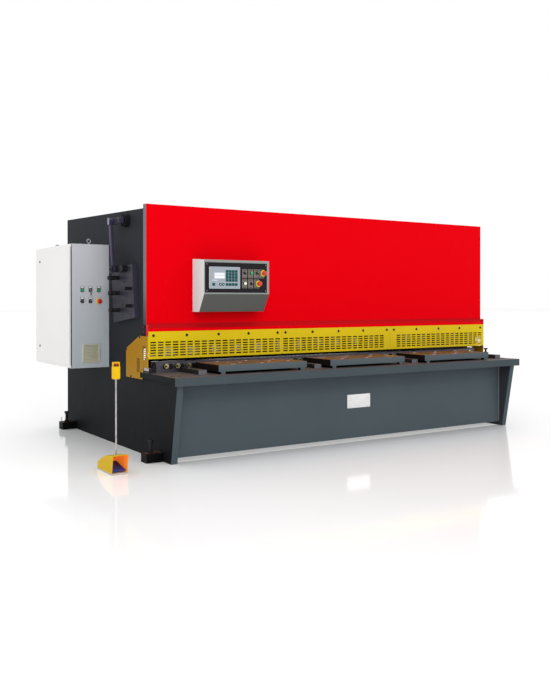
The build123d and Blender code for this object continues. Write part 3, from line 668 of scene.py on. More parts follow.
class SHEAR_OT_finishes(bpy.types.Operator):
    """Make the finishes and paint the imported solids"""

    bl_idname = "shear.finishes"
    bl_label = "Finishes"

    def execute(self, context):
        paint, _, _ = settings()
        grey = linear(118, 122, 126)
        made = {
            # Left side frame: the dark colour on the faces across the machine is painted shade, and the fade
            # makes it darker still towards the foot.
            "frame": two_tone_enamel(
                "frame_enamel_painted_side_shade", paint.table, paint.frame, 0.5, 0.03, fade=(0.2, 1.3, 0.36)
            ),
            # Right side frame: the dark colour across is painted shade, and the fade lifts it below 0.85 m as
            # painted light from the floor's bounce.
            "frame_right": two_tone_enamel(
                "frame_right_enamel_painted_shade_and_bounce", paint.table, paint.frame, 0.5, 0.03, fade=(0.55, 0.85, 1.6)
            ),
            # Inner beams and gauge: near-black paint that stands in for the shade inside the machine, seen
            # through the guards' slots.
            "inside": enamel("inside_enamel_painted_shade", linear(26, 27, 29), 0.6, 0.08, shine=0.05),
            # Table: the near-black colour on its end faces is painted shade.
            "table": worn_top(
                "table_enamel_painted_end_shade", linear(70, 80, 85), linear(13, 17, 19), linear(112, 92, 86),
                linear(76, 72, 72), amount=0.7,
            ),
            "apron": enamel("apron_enamel", paint.table, 0.5, 0.03, shine=0.08),
            # Rest plates: the dark colour on their end faces is painted shade.
            "rest": worn_top(
                "rest_enamel_painted_end_shade", linear(92, 103, 108), linear(26, 22, 22), linear(142, 96, 52),
                linear(84, 52, 36), amount=0.9,
            ),
            # Cover: the band's darker red just above the ledge is painted shade in the bend; the grey end
            # faces grow darker towards the bottom.
            "cover": two_tone_enamel(
                "cover_enamel_painted_ledge_shade", paint.cover, grey, 0.35, 0.01, 0.01, fade=(1.10, 1.60, 0.3),
                band=(1.138, 1.146, 1.178, 1.198, linear(184, 16, 24)),
            ),
            "cover_end": enamel("cover_end_enamel", linear(214, 10, 20), 0.4, 0.03, shine=0.1),
            "guard": enamel("guard_enamel", paint.guard, 0.3, 0.03, 0.00004, shine=0.12, coat=0.06),
            # Side guards: the deeper orange on the faces across the machine is painted shade on the yellow
            # paint.
            "side_guard": two_tone_enamel(
                "side_guard_enamel_painted_side_shade", paint.guard, paint.side_guard, 0.4, 0.08, 0.06
            ),
            "knife": ground_steel("knife_steel", (0.50, 0.50, 0.53, 1)),
            "block": ground_steel("block_steel", (0.14, 0.13, 0.16, 1), 0.45, spots=0.5),
            # Table bars: the dark colour on their end faces is painted shade.
            "bar": worn_top(
                "bar_steel", linear(116, 116, 122), linear(44, 42, 44), linear(84, 72, 68),
                linear(48, 44, 46), amount=1.0,
            ),
            "end_block": two_tone_enamel(
                "end_block_steel", linear(44, 42, 46), linear(196, 188, 196), 0.4, 0.15, 0.15,
                fade=(0.764, 0.772, 0.05),
            ),
            "cylinder": turned_metal("cylinder_steel", (0.10, 0.09, 0.11, 1), 0.35, 0.7),
            "brass": turned_metal("screw_brass", (0.78, 0.70, 0.36, 1), 0.25, 0.85),
            "bolt": turned_metal("bolt_zinc", (0.42, 0.40, 0.40, 1), 0.35),
            "black_bolt": turned_metal("bolt_black", (0.016, 0.015, 0.018, 1), 0.45, 0.6),
            "rusty_bolt": turned_metal("bolt_rusty", (0.12, 0.04, 0.035, 1), 0.5, 0.4),
            # Control box: the pale colour on its side faces is painted light, tinted cool against the cover's
            # red bounce, and the dark colour under it is painted shade.
            "box": two_tone_enamel(
                "box_enamel_painted_light_and_shade", linear(148, 155, 152), linear(222, 250, 250), 0.45, 0.1, 0.03,
                under=linear(94, 96, 94),
            ),
            "panel": plastic("panel_film", (0.014, 0.012, 0.015, 1), 0.5, 0.00003, shine=0.10),
            "unit": plastic("unit_shell", linear(120, 126, 130), 0.45),
            # Control unit shell: the white on its side faces is a painted highlight on the lit edges.
            "unit_face": two_tone_enamel(
                "unit_face_film_painted_edge_highlight", linear(160, 169, 178), linear(250, 250, 250), 0.4, 0.15, 0.02
            ),
            "green_key": plastic("key_green", linear(6, 74, 76), 0.4, 0.00002, shine=0.2),
            "pale_key": plastic("key_pale", linear(206, 212, 218), 0.4, 0.00002),
            "display": screen("display_glass", linear(240, 244, 248), linear(150, 158, 170), 28),
            "black": plastic("knob_plastic", (0.022, 0.022, 0.024, 1), 0.3),
            "green": plastic("button_green_plastic", linear(20, 164, 96), 0.22, 0.00001, 0.4),
            "white": plastic("button_white_plastic", linear(236, 236, 230), 0.25, 0.00001, 0.4),
            "red": plastic("stop_red_plastic", linear(206, 24, 22), 0.25, 0.00001, 0.5),
            "yellow": plastic("ring_yellow_plastic", linear(240, 205, 20), 0.35, 0.00001, 0.3),
            "chrome": turned_metal("ring_chrome", (0.72, 0.72, 0.74, 1), 0.15),
            "cabinet": enamel(
                "cabinet_enamel", paint.cabinet, 0.48, 0.02, 0.00008, shine=0.12,
                foot=(0.75, 1.95, (0.76, 0.84, 0.83)),
            ),
            # Door: the white is painted light, a lit copy of the cabinet's paint.
            "door": enamel("door_enamel_painted_light", paint.door, 0.48, 0.015, 0.00008, shine=0.12),
            "filter": plastic("filter_plastic", linear(190, 188, 168), 0.55, 0.00006),
            # Guide bracket: the lighter front colour is painted light on the faces along the machine.
            "linkage": oily_casting("linkage_enamel_painted_front_light", linear(42, 39, 50), front=linear(62, 60, 78)),
            "lever": two_tone_enamel("lever_enamel", linear(56, 52, 74), linear(50, 46, 66), 0.45, 0.2, 0.1),
            # Lever cheek: the pale colour on its side faces is painted light.
            "cheek": two_tone_enamel(
                "cheek_enamel_painted_side_light", linear(56, 52, 74), linear(150, 146, 162), 0.45, 0.2, 0.1
            ),
            # Link rod: the lighter colour on its side faces is a painted highlight.
            "link": two_tone_enamel("link_enamel_painted_side_highlight", linear(58, 52, 70), linear(74, 66, 90), 0.45, 0.2, 0.1),
            "switch": plastic("switch_yellow_plastic", linear(232, 188, 8), 0.4, 0.00004, shine=0.12),
            # Pedal hood: the orange inside and its emission are a painted glow for light bounced within the
            # hood.
            "hood": hood_plastic_painted_glow(
                "hood_yellow_plastic_painted_glow", linear(212, 174, 0), linear(250, 154, 62), *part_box("pedal_hood")
            ),
            "treadle": plastic("treadle_enamel", linear(38, 48, 126), 0.4, 0.0001),
            "base": enamel("base_enamel", linear(190, 186, 176), 0.5),
            "post": turned_metal("post_steel", (0.50, 0.47, 0.46, 1), 0.35, 0.8),
            "foot": worn_top(
                "foot_enamel", linear(13, 13, 14), linear(13, 13, 14), linear(98, 68, 52), linear(40, 32, 28),
                amount=0.8,
            ),
            "joint": oily_casting("joint_enamel", linear(20, 19, 23)),
            "tank": enamel("tank_enamel", linear(60, 68, 73), 0.5, 0.06),
            "motor": enamel("motor_enamel", linear(86, 94, 100), 0.5, 0.06),
            "rust": plastic("rust_smear", linear(120, 52, 34), 0.5, 0.00006, spread=0.3),
            "label": plastic("label_film", linear(116, 106, 98), 0.35, 0.00002, spread=0.2),
            "strip": plastic("strip_film", linear(74, 70, 70), 0.5, 0.00002),
            "weld": plastic("weld_bead", linear(128, 128, 134), 0.45, 0.0001, spread=0.15),
            "holder": plastic("holder_grey", linear(108, 112, 118), 0.5, 0.00003, shine=0.2),
            "tag": plastic("key_tag_brown", linear(128, 112, 104), 0.5, 0.00004, shine=0.2),
            "plate": ground_steel("plate_aluminium", (0.80, 0.80, 0.80, 1), 0.4, (1, 1, 20), 0.05),
        }
        finishes.update(made)
        for finish, names in COATS.items():
            for name in names.split():
                coat(name, made[finish])
        return {"FINISHED"}


def white_floor():
    """Glossy white studio floor with a faint haze."""
    f = Finish("floor_white")
    haze = f.noise(0.5, 3.0)
    tone = f.mix(haze, (0.985, 0.985, 0.985, 1), (1, 1, 1, 1))
    return f.done(Base_Color=tone, Roughness=0.08, Specular_IOR_Level=0.2)


def lit_floor():
    """Floor with an even light of its own, for the strip that shows below the apron."""
    grey = (0.42, 0.42, 0.42, 1)
    f = Finish("floor_under_apron_white")
    return f.done(Base_Color=(0.5, 0.5, 0.5, 1), Roughness=1.0, Emission_Color=grey, Emission_Strength=1.0)


def stage_sheet(name, near, far, height, material):
    """Level rectangle of the stage: its corners go round from the near left one to the far left one."""
    (x0, y0), (x1, y1) = near, far
    corners = [(x0, y0, height), (x1, y0, height), (x1, y1, height), (x0, y1, height)]
    mesh = bpy.data.meshes.new(name)
    mesh.from_pydata(corners, [], [(0, 1, 2, 3)])
    mesh.materials.append(material)
    sheet = bpy.data.objects.new(name, mesh)
    bpy.context.scene.collection.objects.link(sheet)


class SHEAR_OT_stage(bpy.types.Operator):
    """Set the floor, the surround, the lights and the camera"""

    bl_idname = "shear.stage"
    bl_label = "Stage"

    def execute(self, context):
        _, light, _ = settings()
        scene = context.scene
        scene.view_settings.view_transform = "Standard"
        half = 120.0
        stage_sheet("floor", (-half, -half), (half, half), 0, white_floor())
        low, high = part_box("apron")
        stage_sheet("floor_under_apron", (low.x, high.y), (high.x, high.y + 0.35), 0.001, lit_floor())
        world = bpy.data.worlds.new("surround")
        scene.world = world
        world.use_nodes = True
        sky = world.node_tree.nodes["Background"]
        sky.inputs["Color"].default_value = (1, 1, 1, 1)
        sky.inputs["Strength"].default_value = light.sky
        lamps = (
            ("key", (-4.5, -7.5, 6.0), (0.0, 0.0, 1.2), 2.2, light.key),
            ("fill", (7.0, -7.0, 4.0), (0.0, 0.0, 1.0), 5.0, light.key * 0.4),
            ("top", (0.0, 0.0, 7.0), (0.0, 0.0, 0.0), 6.0, light.key * 0.35),
        )
        for name, at, to, size, power in lamps:
            lamp = bpy.data.lights.new(name, "AREA")
            lamp.size = size
            lamp.energy = power
            holder = bpy.data.objects.new(name, lamp)
            scene.collection.objects.link(holder)
            holder.location = at
            aim = np.array(to) - np.array(at)
            flat = math.hypot(aim[0], aim[1])
            holder.rotation_euler = (math.atan2(flat, -aim[2]), 0, math.atan2(-aim[0], aim[1]) if flat else 0)
        lens = bpy.data.cameras.new("view")
        lens.sensor_width = SENSOR
        lens.lens = light.lens
        lens.shift_x, lens.shift_y = VIEW_SHIFT
        lens.clip_end = 500
        camera = bpy.data.objects.new("view", lens)
        scene.collection.objects.link(camera)
        camera.location = VIEW_FROM
        camera.rotation_euler = VIEW_TURN
        scene.camera = camera
        return {"FINISHED"}


class SHEAR_OT_guard_bolts(bpy.types.Operator):
    """Add the bolts of the guards and the side frames, and the tabs at the ends of the cover"""

    bl_idname = "shear.guard_bolts"
    bl_label = "Guard bolts"

    def execute(self, context):
        _, _, fittings = settings()
        r = fittings.guard_bolt
        profile = [
            (0, 0), (r * 1.35, 0), (r * 1.35, 0.0016), (r, 0.0018), (r, 0.0055), (r * 0.85, 0.0072),
            (r * 0.45, 0.0078), (r * 0.4, 0.0048), (0, 0.0048),
        ]
        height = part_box("left_finger_guard")[1].z - fittings.guard_bolt_drop
        left = (-2.094, -1.759, -1.424, -1.095, -0.760)
        middle = (-0.666, -0.335, -0.004, 0.325, 0.652)
        right = (0.752, 1.080, 1.416, 1.745, 2.086)
        head = turned(profile, 14)
        spots = [(x, GUARD_FACE, height) for x in left + middle + right]
        piece("finger_guard_bolts", repeated(head, spots, "front"), "black_bolt")
        low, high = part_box("side_guards")
        corners = ((0.121, 1.061), (0.411, 0.941), (0.312, 0.697))
        shapes = []
        for facing, x in (("left", low.x), ("right", high.x)):
            small = turned([(rr * 0.75, h) for rr, h in profile], 14)
            shapes.append(repeated(small, [spot(x, corner) for corner in corners], facing))
        piece("side_guard_bolts", gathered(shapes), "black_bolt")
        hexagon = [
            (0, 0), (0.014, 0), (0.014, 0.003), (0.011, 0.0035), (0.011, 0.011), (0.0095, 0.012), (0, 0.012)
        ]
        stud = [(0, 0), (0.009, 0), (0.009, 0.026), (0.007, 0.028), (0, 0.028)]
        shapes = []
        for facing, x in (("left", LEFT_PLATE), ("right", RIGHT_PLATE)):
            shapes.append(seated(turned(hexagon, 6), spot(x, (0.127, 1.108)), facing))
            shapes.append(seated(turned(stud, 12), spot(x, (0.095, 1.152)), facing))
        piece("side_frame_bolts", gathered(shapes), "rusty_bolt", smooth=False)
        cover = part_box("front_cover")
        tab = moulded(0.046, 0.100, 0.002, [(0, 0), (0, 0.0012)])
        sides = (("left", cover[0].x), ("right", cover[1].x))
        ends = [seated(tab, spot(x, (-0.023, 1.126)), facing) for facing, x in sides]
        piece("cover_end_tabs", gathered(ends), "cover_end")
        return {"FINISHED"}


class SHEAR_OT_table_fittings(bpy.types.Operator):
    """Add the rings and smears of the ball rests, the table's plugs, the stud and the knife block's screws"""

    bl_idname = "shear.table_fittings"
    bl_label = "Table fittings"

    def execute(self, context):
        _, _, fittings = settings()
        low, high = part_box("support_plates")
        top = high.z
        starts, length, depth = (-1.652, -0.416, 0.820), 0.955, high.y - low.y
        shares = (
            (0.195, 0.85), (0.195, 0.15), (0.37, 0.54), (0.515, 0.83), (0.51, 0.13), (0.685, 0.46),
            (0.85, 0.86), (0.87, 0.33),
        )
        spots = [(start + sx * length, low.y + sy * depth, top) for start in starts for sx, sy in shares]
        r = fittings.ball_ring
        ring = [(r + 0.001, 0.0), (r, 0.0020), (r - 0.003, 0.0034), (0.0135, 0.0030), (0.0128, 0.0002)]
        piece("ball_rest_rings", repeated(hoop(ring, 28), spots), "chrome")
        smear = turned([(0, 0.0), (r + 0.030, 0.0), (r + 0.029, 0.0006), (0, 0.0006)], 28)
        piece("ball_rest_smears", repeated(smear, spots), "rust")
        plug = turned([(0, 0), (0.0165, 0.0), (0.015, 0.0022), (0.012, 0.0012), (0, 0.0012)], 20)
        plugs = [spot(-2.082, (-0.378, TABLE_TOP)), spot(-2.026, (-0.400, TABLE_TOP))]
        plugs += [(-x, y, z) for x, y, z in plugs]
        piece("table_plugs", repeated(plug, plugs), "black_bolt")
        stud = [
            (0, 0), (0.017, 0), (0.017, 0.004), (0.010, 0.005), (0.010, 0.030), (0.019, 0.031),
            (0.021, 0.034), (0.021, 0.042), (0.018, 0.045), (0, 0.045),
        ]
        shape = seated(turned(stud, 18), (high.x - 0.020, low.y + 0.020, top), "up")
        piece("plate_stud", shape, "black_bolt")
        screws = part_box("gap_screws")
        middle = (screws[0].z + screws[1].z) / 2
        xs = np.linspace(screws[0].x + 0.0147, screws[1].x - 0.0147, 35)
        socket = turned([(0, 0), (0.0105, 0), (0.0100, 0.0009), (0, 0.0009)], 24)
        shape = repeated(socket, [(x, screws[0].y, middle) for x in xs], "front")
        piece("gap_screw_sockets", shape, "black_bolt")
        washer = hoop([(0.0230, 0.0), (0.0215, 0.0032), (0.0150, 0.0032), (0.0150, 0.0)], 20)
        shape = repeated(washer, [(x, screws[1].y, middle) for x in xs], "front")
        piece("gap_screw_washers", shape, "black_bolt")
        lock = [
            (0, 0), (0.0215, 0), (0.0235, 0.002), (0.0235, 0.012), (0.0215, 0.014), (0.0105, 0.014),
            (0.0100, 0.006), (0, 0.006),
        ]
        between = (xs[:-1] + xs[1:]) / 2
        shape = repeated(turned(lock, 18), [(x, screws[1].y, middle - 0.004) for x in between], "front")
        piece("lock_screws", shape, "black_bolt")
        return {"FINISHED"}


class SHEAR_OT_control_unit(bpy.types.Operator):
    """Add the control unit's shell, its display and keys, the label plates and the panel screws"""

    bl_idname = "shear.control_unit"
    bl_label = "Control unit"

    def execute(self, context):
        _, _, fittings = settings()
        low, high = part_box("control_unit")
        face = low.y
        width, height = high.x - low.x, high.z - low.z
        centre = ((low.x + high.x) / 2, high.y, (low.z + high.z) / 2)
        deep = high.y - low.y
        shell = [
            (0, 0), (0, deep - 0.0020), (0.0006, deep - 0.0006), (0.0020, deep), (0.007, deep),
            (0.008, deep - 0.0012),
        ]
        shape = moulded(width, height, 0.008, shell)
        unit = piece("control_unit_shell", seated(shape, centre, "front"), "unit_face")
        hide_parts("control_unit")
        raised = face + 0.0012
        at = (-1.5200, raised, 1.6140)
        surround = moulded(0.114, 0.056, 0.004, [(0, 0), (0.0005, 0.0010), (0.005, 0.0012), (0.006, 0.0003)])
        piece("display_frame", seated(surround, at, "front"), "pale_key")
        glass = moulded(0.102, 0.045, 0.002, [(0, 0), (0, 0.0004)])
        piece("display_glass", seated(glass, at, "front"), "display")
        k = fittings.key
        key_profile = [(0, 0), (0, 0.0006), (0.0005, 0.0011), (0.0030, 0.0013), (0.0040, 0.0009)]
        key = moulded(k, k * 0.86, 0.003, key_profile)
        xs = np.linspace(-1.4405, -1.3435, 4)
        zs = np.linspace(1.653, 1.572, 4)
        low_row = 1.5345
        spots = [(x, raised, z) for x in xs for z in zs] + [(x, raised, low_row) for x in (-1.5815, *xs)]
        piece("unit_keys", repeated(key, spots, "front"), "green_key")
        pair = [(-1.5120, raised, low_row), (-1.4815, raised, low_row)]
        rim = [(k * 0.48, 0), (k * 0.47, 0.0010), (k * 0.30, 0.0013), (k * 0.17, 0.0011), (k * 0.17, 0)]
        piece("round_keys", repeated(hoop(rim, 24), pair, "front"), "green_key")
        middle = turned([(0, 0), (k * 0.165, 0), (k * 0.15, 0.0010), (0, 0.0012)], 24)
        shape = repeated(middle, pair, "front")
        piece("round_key_centres", shape, "pale_key")
        strip = moulded(0.058, 0.008, 0.002, [(0, 0), (0.0004, 0.0005)])
        shape = seated(strip, (-1.5670, raised, 1.5720), "front")
        piece("unit_blank_strip", shape, "pale_key")
        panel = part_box("control_panel")
        sheet = high.y
        upper, lower = 1.6360, 1.5430
        spots = [(x, sheet, upper) for x in (-1.2480, -1.1820, -1.1190, -1.0590)]
        spots += [(x, sheet, lower) for x in (-1.2480, -1.1820, -1.1160)]
        tall = moulded(0.054, 0.083, 0.003, [(0, 0), (0.0004, 0.0007), (0.0016, 0.0008)])
        piece("button_label_plates", repeated(tall, spots, "front"), "label")
        bare = moulded(0.038, 0.009, 0.002, [(0, 0), (0.0003, 0.0003)])
        strips = [(x, y - 0.0008, z + side * 0.033) for x, y, z in spots for side in (-1, 1)]
        piece("label_strips", repeated(bare, strips, "front"), "strip")
        screw = [(0, 0), (0.0045, 0), (0.0042, 0.0018), (0.0020, 0.0024), (0.0018, 0.0014), (0, 0.0014)]
        x0, x1 = panel[0].x + 0.016, panel[1].x - 0.016
        z0, z1 = panel[0].z + 0.016, panel[1].z - 0.016
        spots = [(x, sheet, z) for x in (x0, x1) for z in (z0, z1)]
        piece("panel_screws", repeated(turned(screw, 16), spots, "front"), "bolt")
        return {"FINISHED"}


# Foot of a control's stem, just inside the hole of its sheet
STEM = [(0, 0.0003), (0.0108, 0.0003)]
SELECTORS = (
    "panel_selector_left", "panel_selector_right", "panel_selector_lower",
    "cabinet_selector_left", "cabinet_selector_right",
)


def button_places():
    """Middle of each control in its own node's box, with the face of the sheet that it stands in."""
    places = {}
    for node in frame["nodes"]:
        low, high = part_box(node)
        places[node] = ((low.x + high.x) / 2, high.y + 0.0003, (low.z + high.z) / 2)
    return places


class SHEAR_OT_push_buttons(bpy.types.Operator):
    """Replace the push buttons by raised ones and give each control its ring"""

    bl_idname = "shear.push_buttons"
    bl_label = "Push buttons"

    def execute(self, context):
        places = button_places()
        cap = [
            *STEM, (0.0108, 0.0104), (0.0138, 0.0108), (0.0142, 0.0120), (0.0140, 0.0138), (0.0128, 0.0148),
            (0.0080, 0.0154), (0, 0.0155),
        ]
        colours = {
            "panel_start_button": ("green", "button_green"),
            "panel_white_button": ("white", "button_white"),
            "cabinet_start_button": ("green", "button_green"),
            "cabinet_green_button": ("green", "button_green"),
        }
        for node, (finish, slot) in colours.items():
            shape = seated(turned(cap, 32), places[node], "front")
            made = piece(node + "_cap", shape, finish, body_of(node))
            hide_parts(node)
        ring = [
            (0.0165, 0.0008), (0.0158, 0.0048), (0.0150, 0.0058), (0.0128, 0.0062), (0.0118, 0.0056),
            (0.0117, 0.0008),
        ]
        names = list(colours) + [*SELECTORS, "cabinet_key_switch"]
        shape = repeated(hoop(ring, 32), [places[n] for n in names], "front")
        piece("control_rings", shape, "black")
        return {"FINISHED"}


class SHEAR_OT_selectors(bpy.types.Operator):
    """Replace the selectors by grips with a pale pointer, and the key switch by a barrel with its key"""

    bl_idname = "shear.selectors"
    bl_label = "Selectors"

    def execute(self, context):
        places = button_places()
        skirt = [
            *STEM, (0.0108, 0.0066), (0.0138, 0.0068), (0.0140, 0.0098), (0.0132, 0.0108), (0, 0.0110)
        ]
        grip = [(0.0, 0.0105), (0.0, 0.0180), (0.0008, 0.0198), (0.0024, 0.0206)]
        for node in SELECTORS:
            knob = gathered([turned(skirt, 32), moulded(0.0098, 0.0274, 0.0045, grip, 5)])
            shape = seated(knob, places[node], "front")
            made = piece(node + "_grip", shape, "black", body_of(node))
            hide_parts(node)
            points, faces = moulded(0.0026, 0.0100, 0.0010, [(0, 0.0202), (0.0001, 0.0208)], 4)
            mark = seated((points + np.array([0, 0.0070, 0]), faces), places[node], "front")
            piece(node + "_pointer", mark, "white", body_of(node))
        node = "cabinet_key_switch"
        barrel = turned([*STEM, (0.0109, 0.0066), (0.0100, 0.0076), (0, 0.0076)], 32)
        blade = moulded(0.0026, 0.0130, 0.0006, [(0, 0.0070), (0, 0.0110)], 4)
        edge = [(0.0004, 0.0108), (0, 0.0116), (0, 0.0180), (0.0004, 0.0188)]
        bow = moulded(0.0036, 0.0225, 0.0017, edge, 5)
        shape = seated(gathered([barrel, blade, bow]), places[node], "front")
        made = piece("key_barrel", shape, "bolt", body_of(node))
        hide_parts(node)
        points, faces = moulded(0.0130, 0.0400, 0.0050, [(0, 0), (0.0003, 0.0022), (0.0012, 0.0026)], 5)
        shape = seated((points + np.array([0.0020, -0.0290, 0.0150]), faces), places[node], "front")
        piece("key_tag", shape, "tag", body_of(node))
        return {"FINISHED"}


class SHEAR_OT_stop_buttons(bpy.types.Operator):
    """Replace the stop buttons by mushroom heads and set the yellow discs behind them"""

    bl_idname = "shear.stop_buttons"
    bl_label = "Stop buttons"

    def execute(self, context):
        places = button_places()
        head = [
            *STEM, (0.0108, 0.0150), (0.0165, 0.0172), (0.0222, 0.0188), (0.0236, 0.0210), (0.0235, 0.0248),
            (0.0220, 0.0284), (0.0180, 0.0306), (0.0120, 0.0318), (0.0055, 0.0322), (0, 0.0322),
        ]
        disc = [
            (0.0296, 0.0003), (0.0294, 0.0018), (0.0284, 0.0026), (0.0168, 0.0026), (0.0160, 0.0018),
            (0.0160, 0.0003),
        ]
        for node in ("panel_stop_upper", "panel_stop_lower", "cabinet_stop_button"):
            shape = seated(turned(head, 40), places[node], "front")
            made = piece(node + "_head", shape, "red", body_of(node))
            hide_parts(node)
            ring = seated(hoop(disc, 40), places[node], "front")
            piece(node + "_disc", ring, "yellow")
        low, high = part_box("post_stop_button")
        seat = ((low.x + high.x) / 2, (low.y + high.y) / 2, low.z - 0.0003)
        small = [
            (0, 0.0003), (0.0095, 0.0003), (0.0095, 0.0140), (0.0150, 0.0152), (0.0188, 0.0162),
            (0.0196, 0.0180), (0.0195, 0.0225), (0.0182, 0.0262), (0.0150, 0.0282), (0.0090, 0.0292),
            (0, 0.0294),
        ]
        shape = seated(turned(small, 40), seat, "up")
        made = piece("post_stop_head", shape, "red", "post_stop_button")
        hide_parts("post_stop_button")
        return {"FINISHED"}


class SHEAR_OT_cabinet_fittings(bpy.types.Operator):
    """Replace the filter by a louvred one and add the door's locks and seal and the label holders"""

    bl_idname = "shear.cabinet_fittings"
    bl_label = "Cabinet fittings"

    def execute(self, context):
        places = button_places()
        low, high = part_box("cabinet_filter")
        width, height = high.x - low.x, high.z - low.z
        centre = ((low.x + high.x) / 2, high.y, (low.z + high.z) / 2)
        rim = [
            (0, 0), (0, 0.008), (0.0015, 0.0105), (0.004, 0.0118), (0.010, 0.0118), (0.013, 0.0085),
            (0.014, 0.002),
        ]
        body = moulded(width, height, 0.010, rim)
        made = piece("filter_frame", seated(body, centre, "front"), "filter")
        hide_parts("cabinet_filter")
        blade = [(0, 0.0020), (0, 0.0064), (0.0012, 0.0086), (0.0024, 0.0092)]
        slat = moulded(width - 0.028, 0.0078, 0.0015, blade, 4)
        rows = np.linspace(centre[2] - height / 2 + 0.020, centre[2] + height / 2 - 0.020, 11)
        slats = repeated(slat, [(centre[0], high.y, z) for z in rows], "front")
        piece("filter_slats", slats, "filter")
        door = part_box("cabinet_door")
        lock = [
            (0, 0), (0.012, 0), (0.012, 0.003), (0.0105, 0.0045), (0.0080, 0.005), (0.0075, 0.0030),
            (0.0040, 0.0028), (0.0036, 0.0060), (0, 0.0060),
        ]
        spots = [spot(door[0].x, (1.805, height)) for height in (1.798, 0.916)]
        shape = repeated(turned(lock, 28), spots, "left")
        piece("door_locks", shape, "black_bolt", "cabinet_door")
        sheet = places["cabinet_start_button"][1]
        names = [
            "cabinet_start_button", "cabinet_key_switch", "cabinet_green_button", "cabinet_selector_left",
            "cabinet_selector_right",
        ]
        holder = [(0.0, 0), (0.0004, 0.0018), (0.0022, 0.0022), (0.0026, 0.0012), (0.0200, 0.0012)]
        spots = [(places[n][0], sheet, places[n][2] + 0.0100) for n in names]
        shape = repeated(moulded(0.0400, 0.0580, 0.006, holder), spots, "front")
        piece("label_holders", shape, "holder")
        label = moulded(0.0290, 0.0150, 0.002, [(0, 0.0010), (0.0003, 0.0022), (0.0012, 0.0024)])
        spots = [(x, y, z + 0.0185) for x, y, z in spots]
        piece("cabinet_labels", repeated(label, spots, "front"), "white")
        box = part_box("electric_cabinet")
        length = box[1].z - box[0].z - 0.06
        middle = (box[0].z + box[1].z) / 2
        seal = moulded(0.0050, length, 0.002, [(0, 0), (0.0003, 0.0010), (0.0012, 0.0014)], 4)
        shape = seated(seal, (box[0].x + 0.0050, box[0].y, middle), "front")
        piece("door_seal", shape, "black")
        return {"FINISHED"}


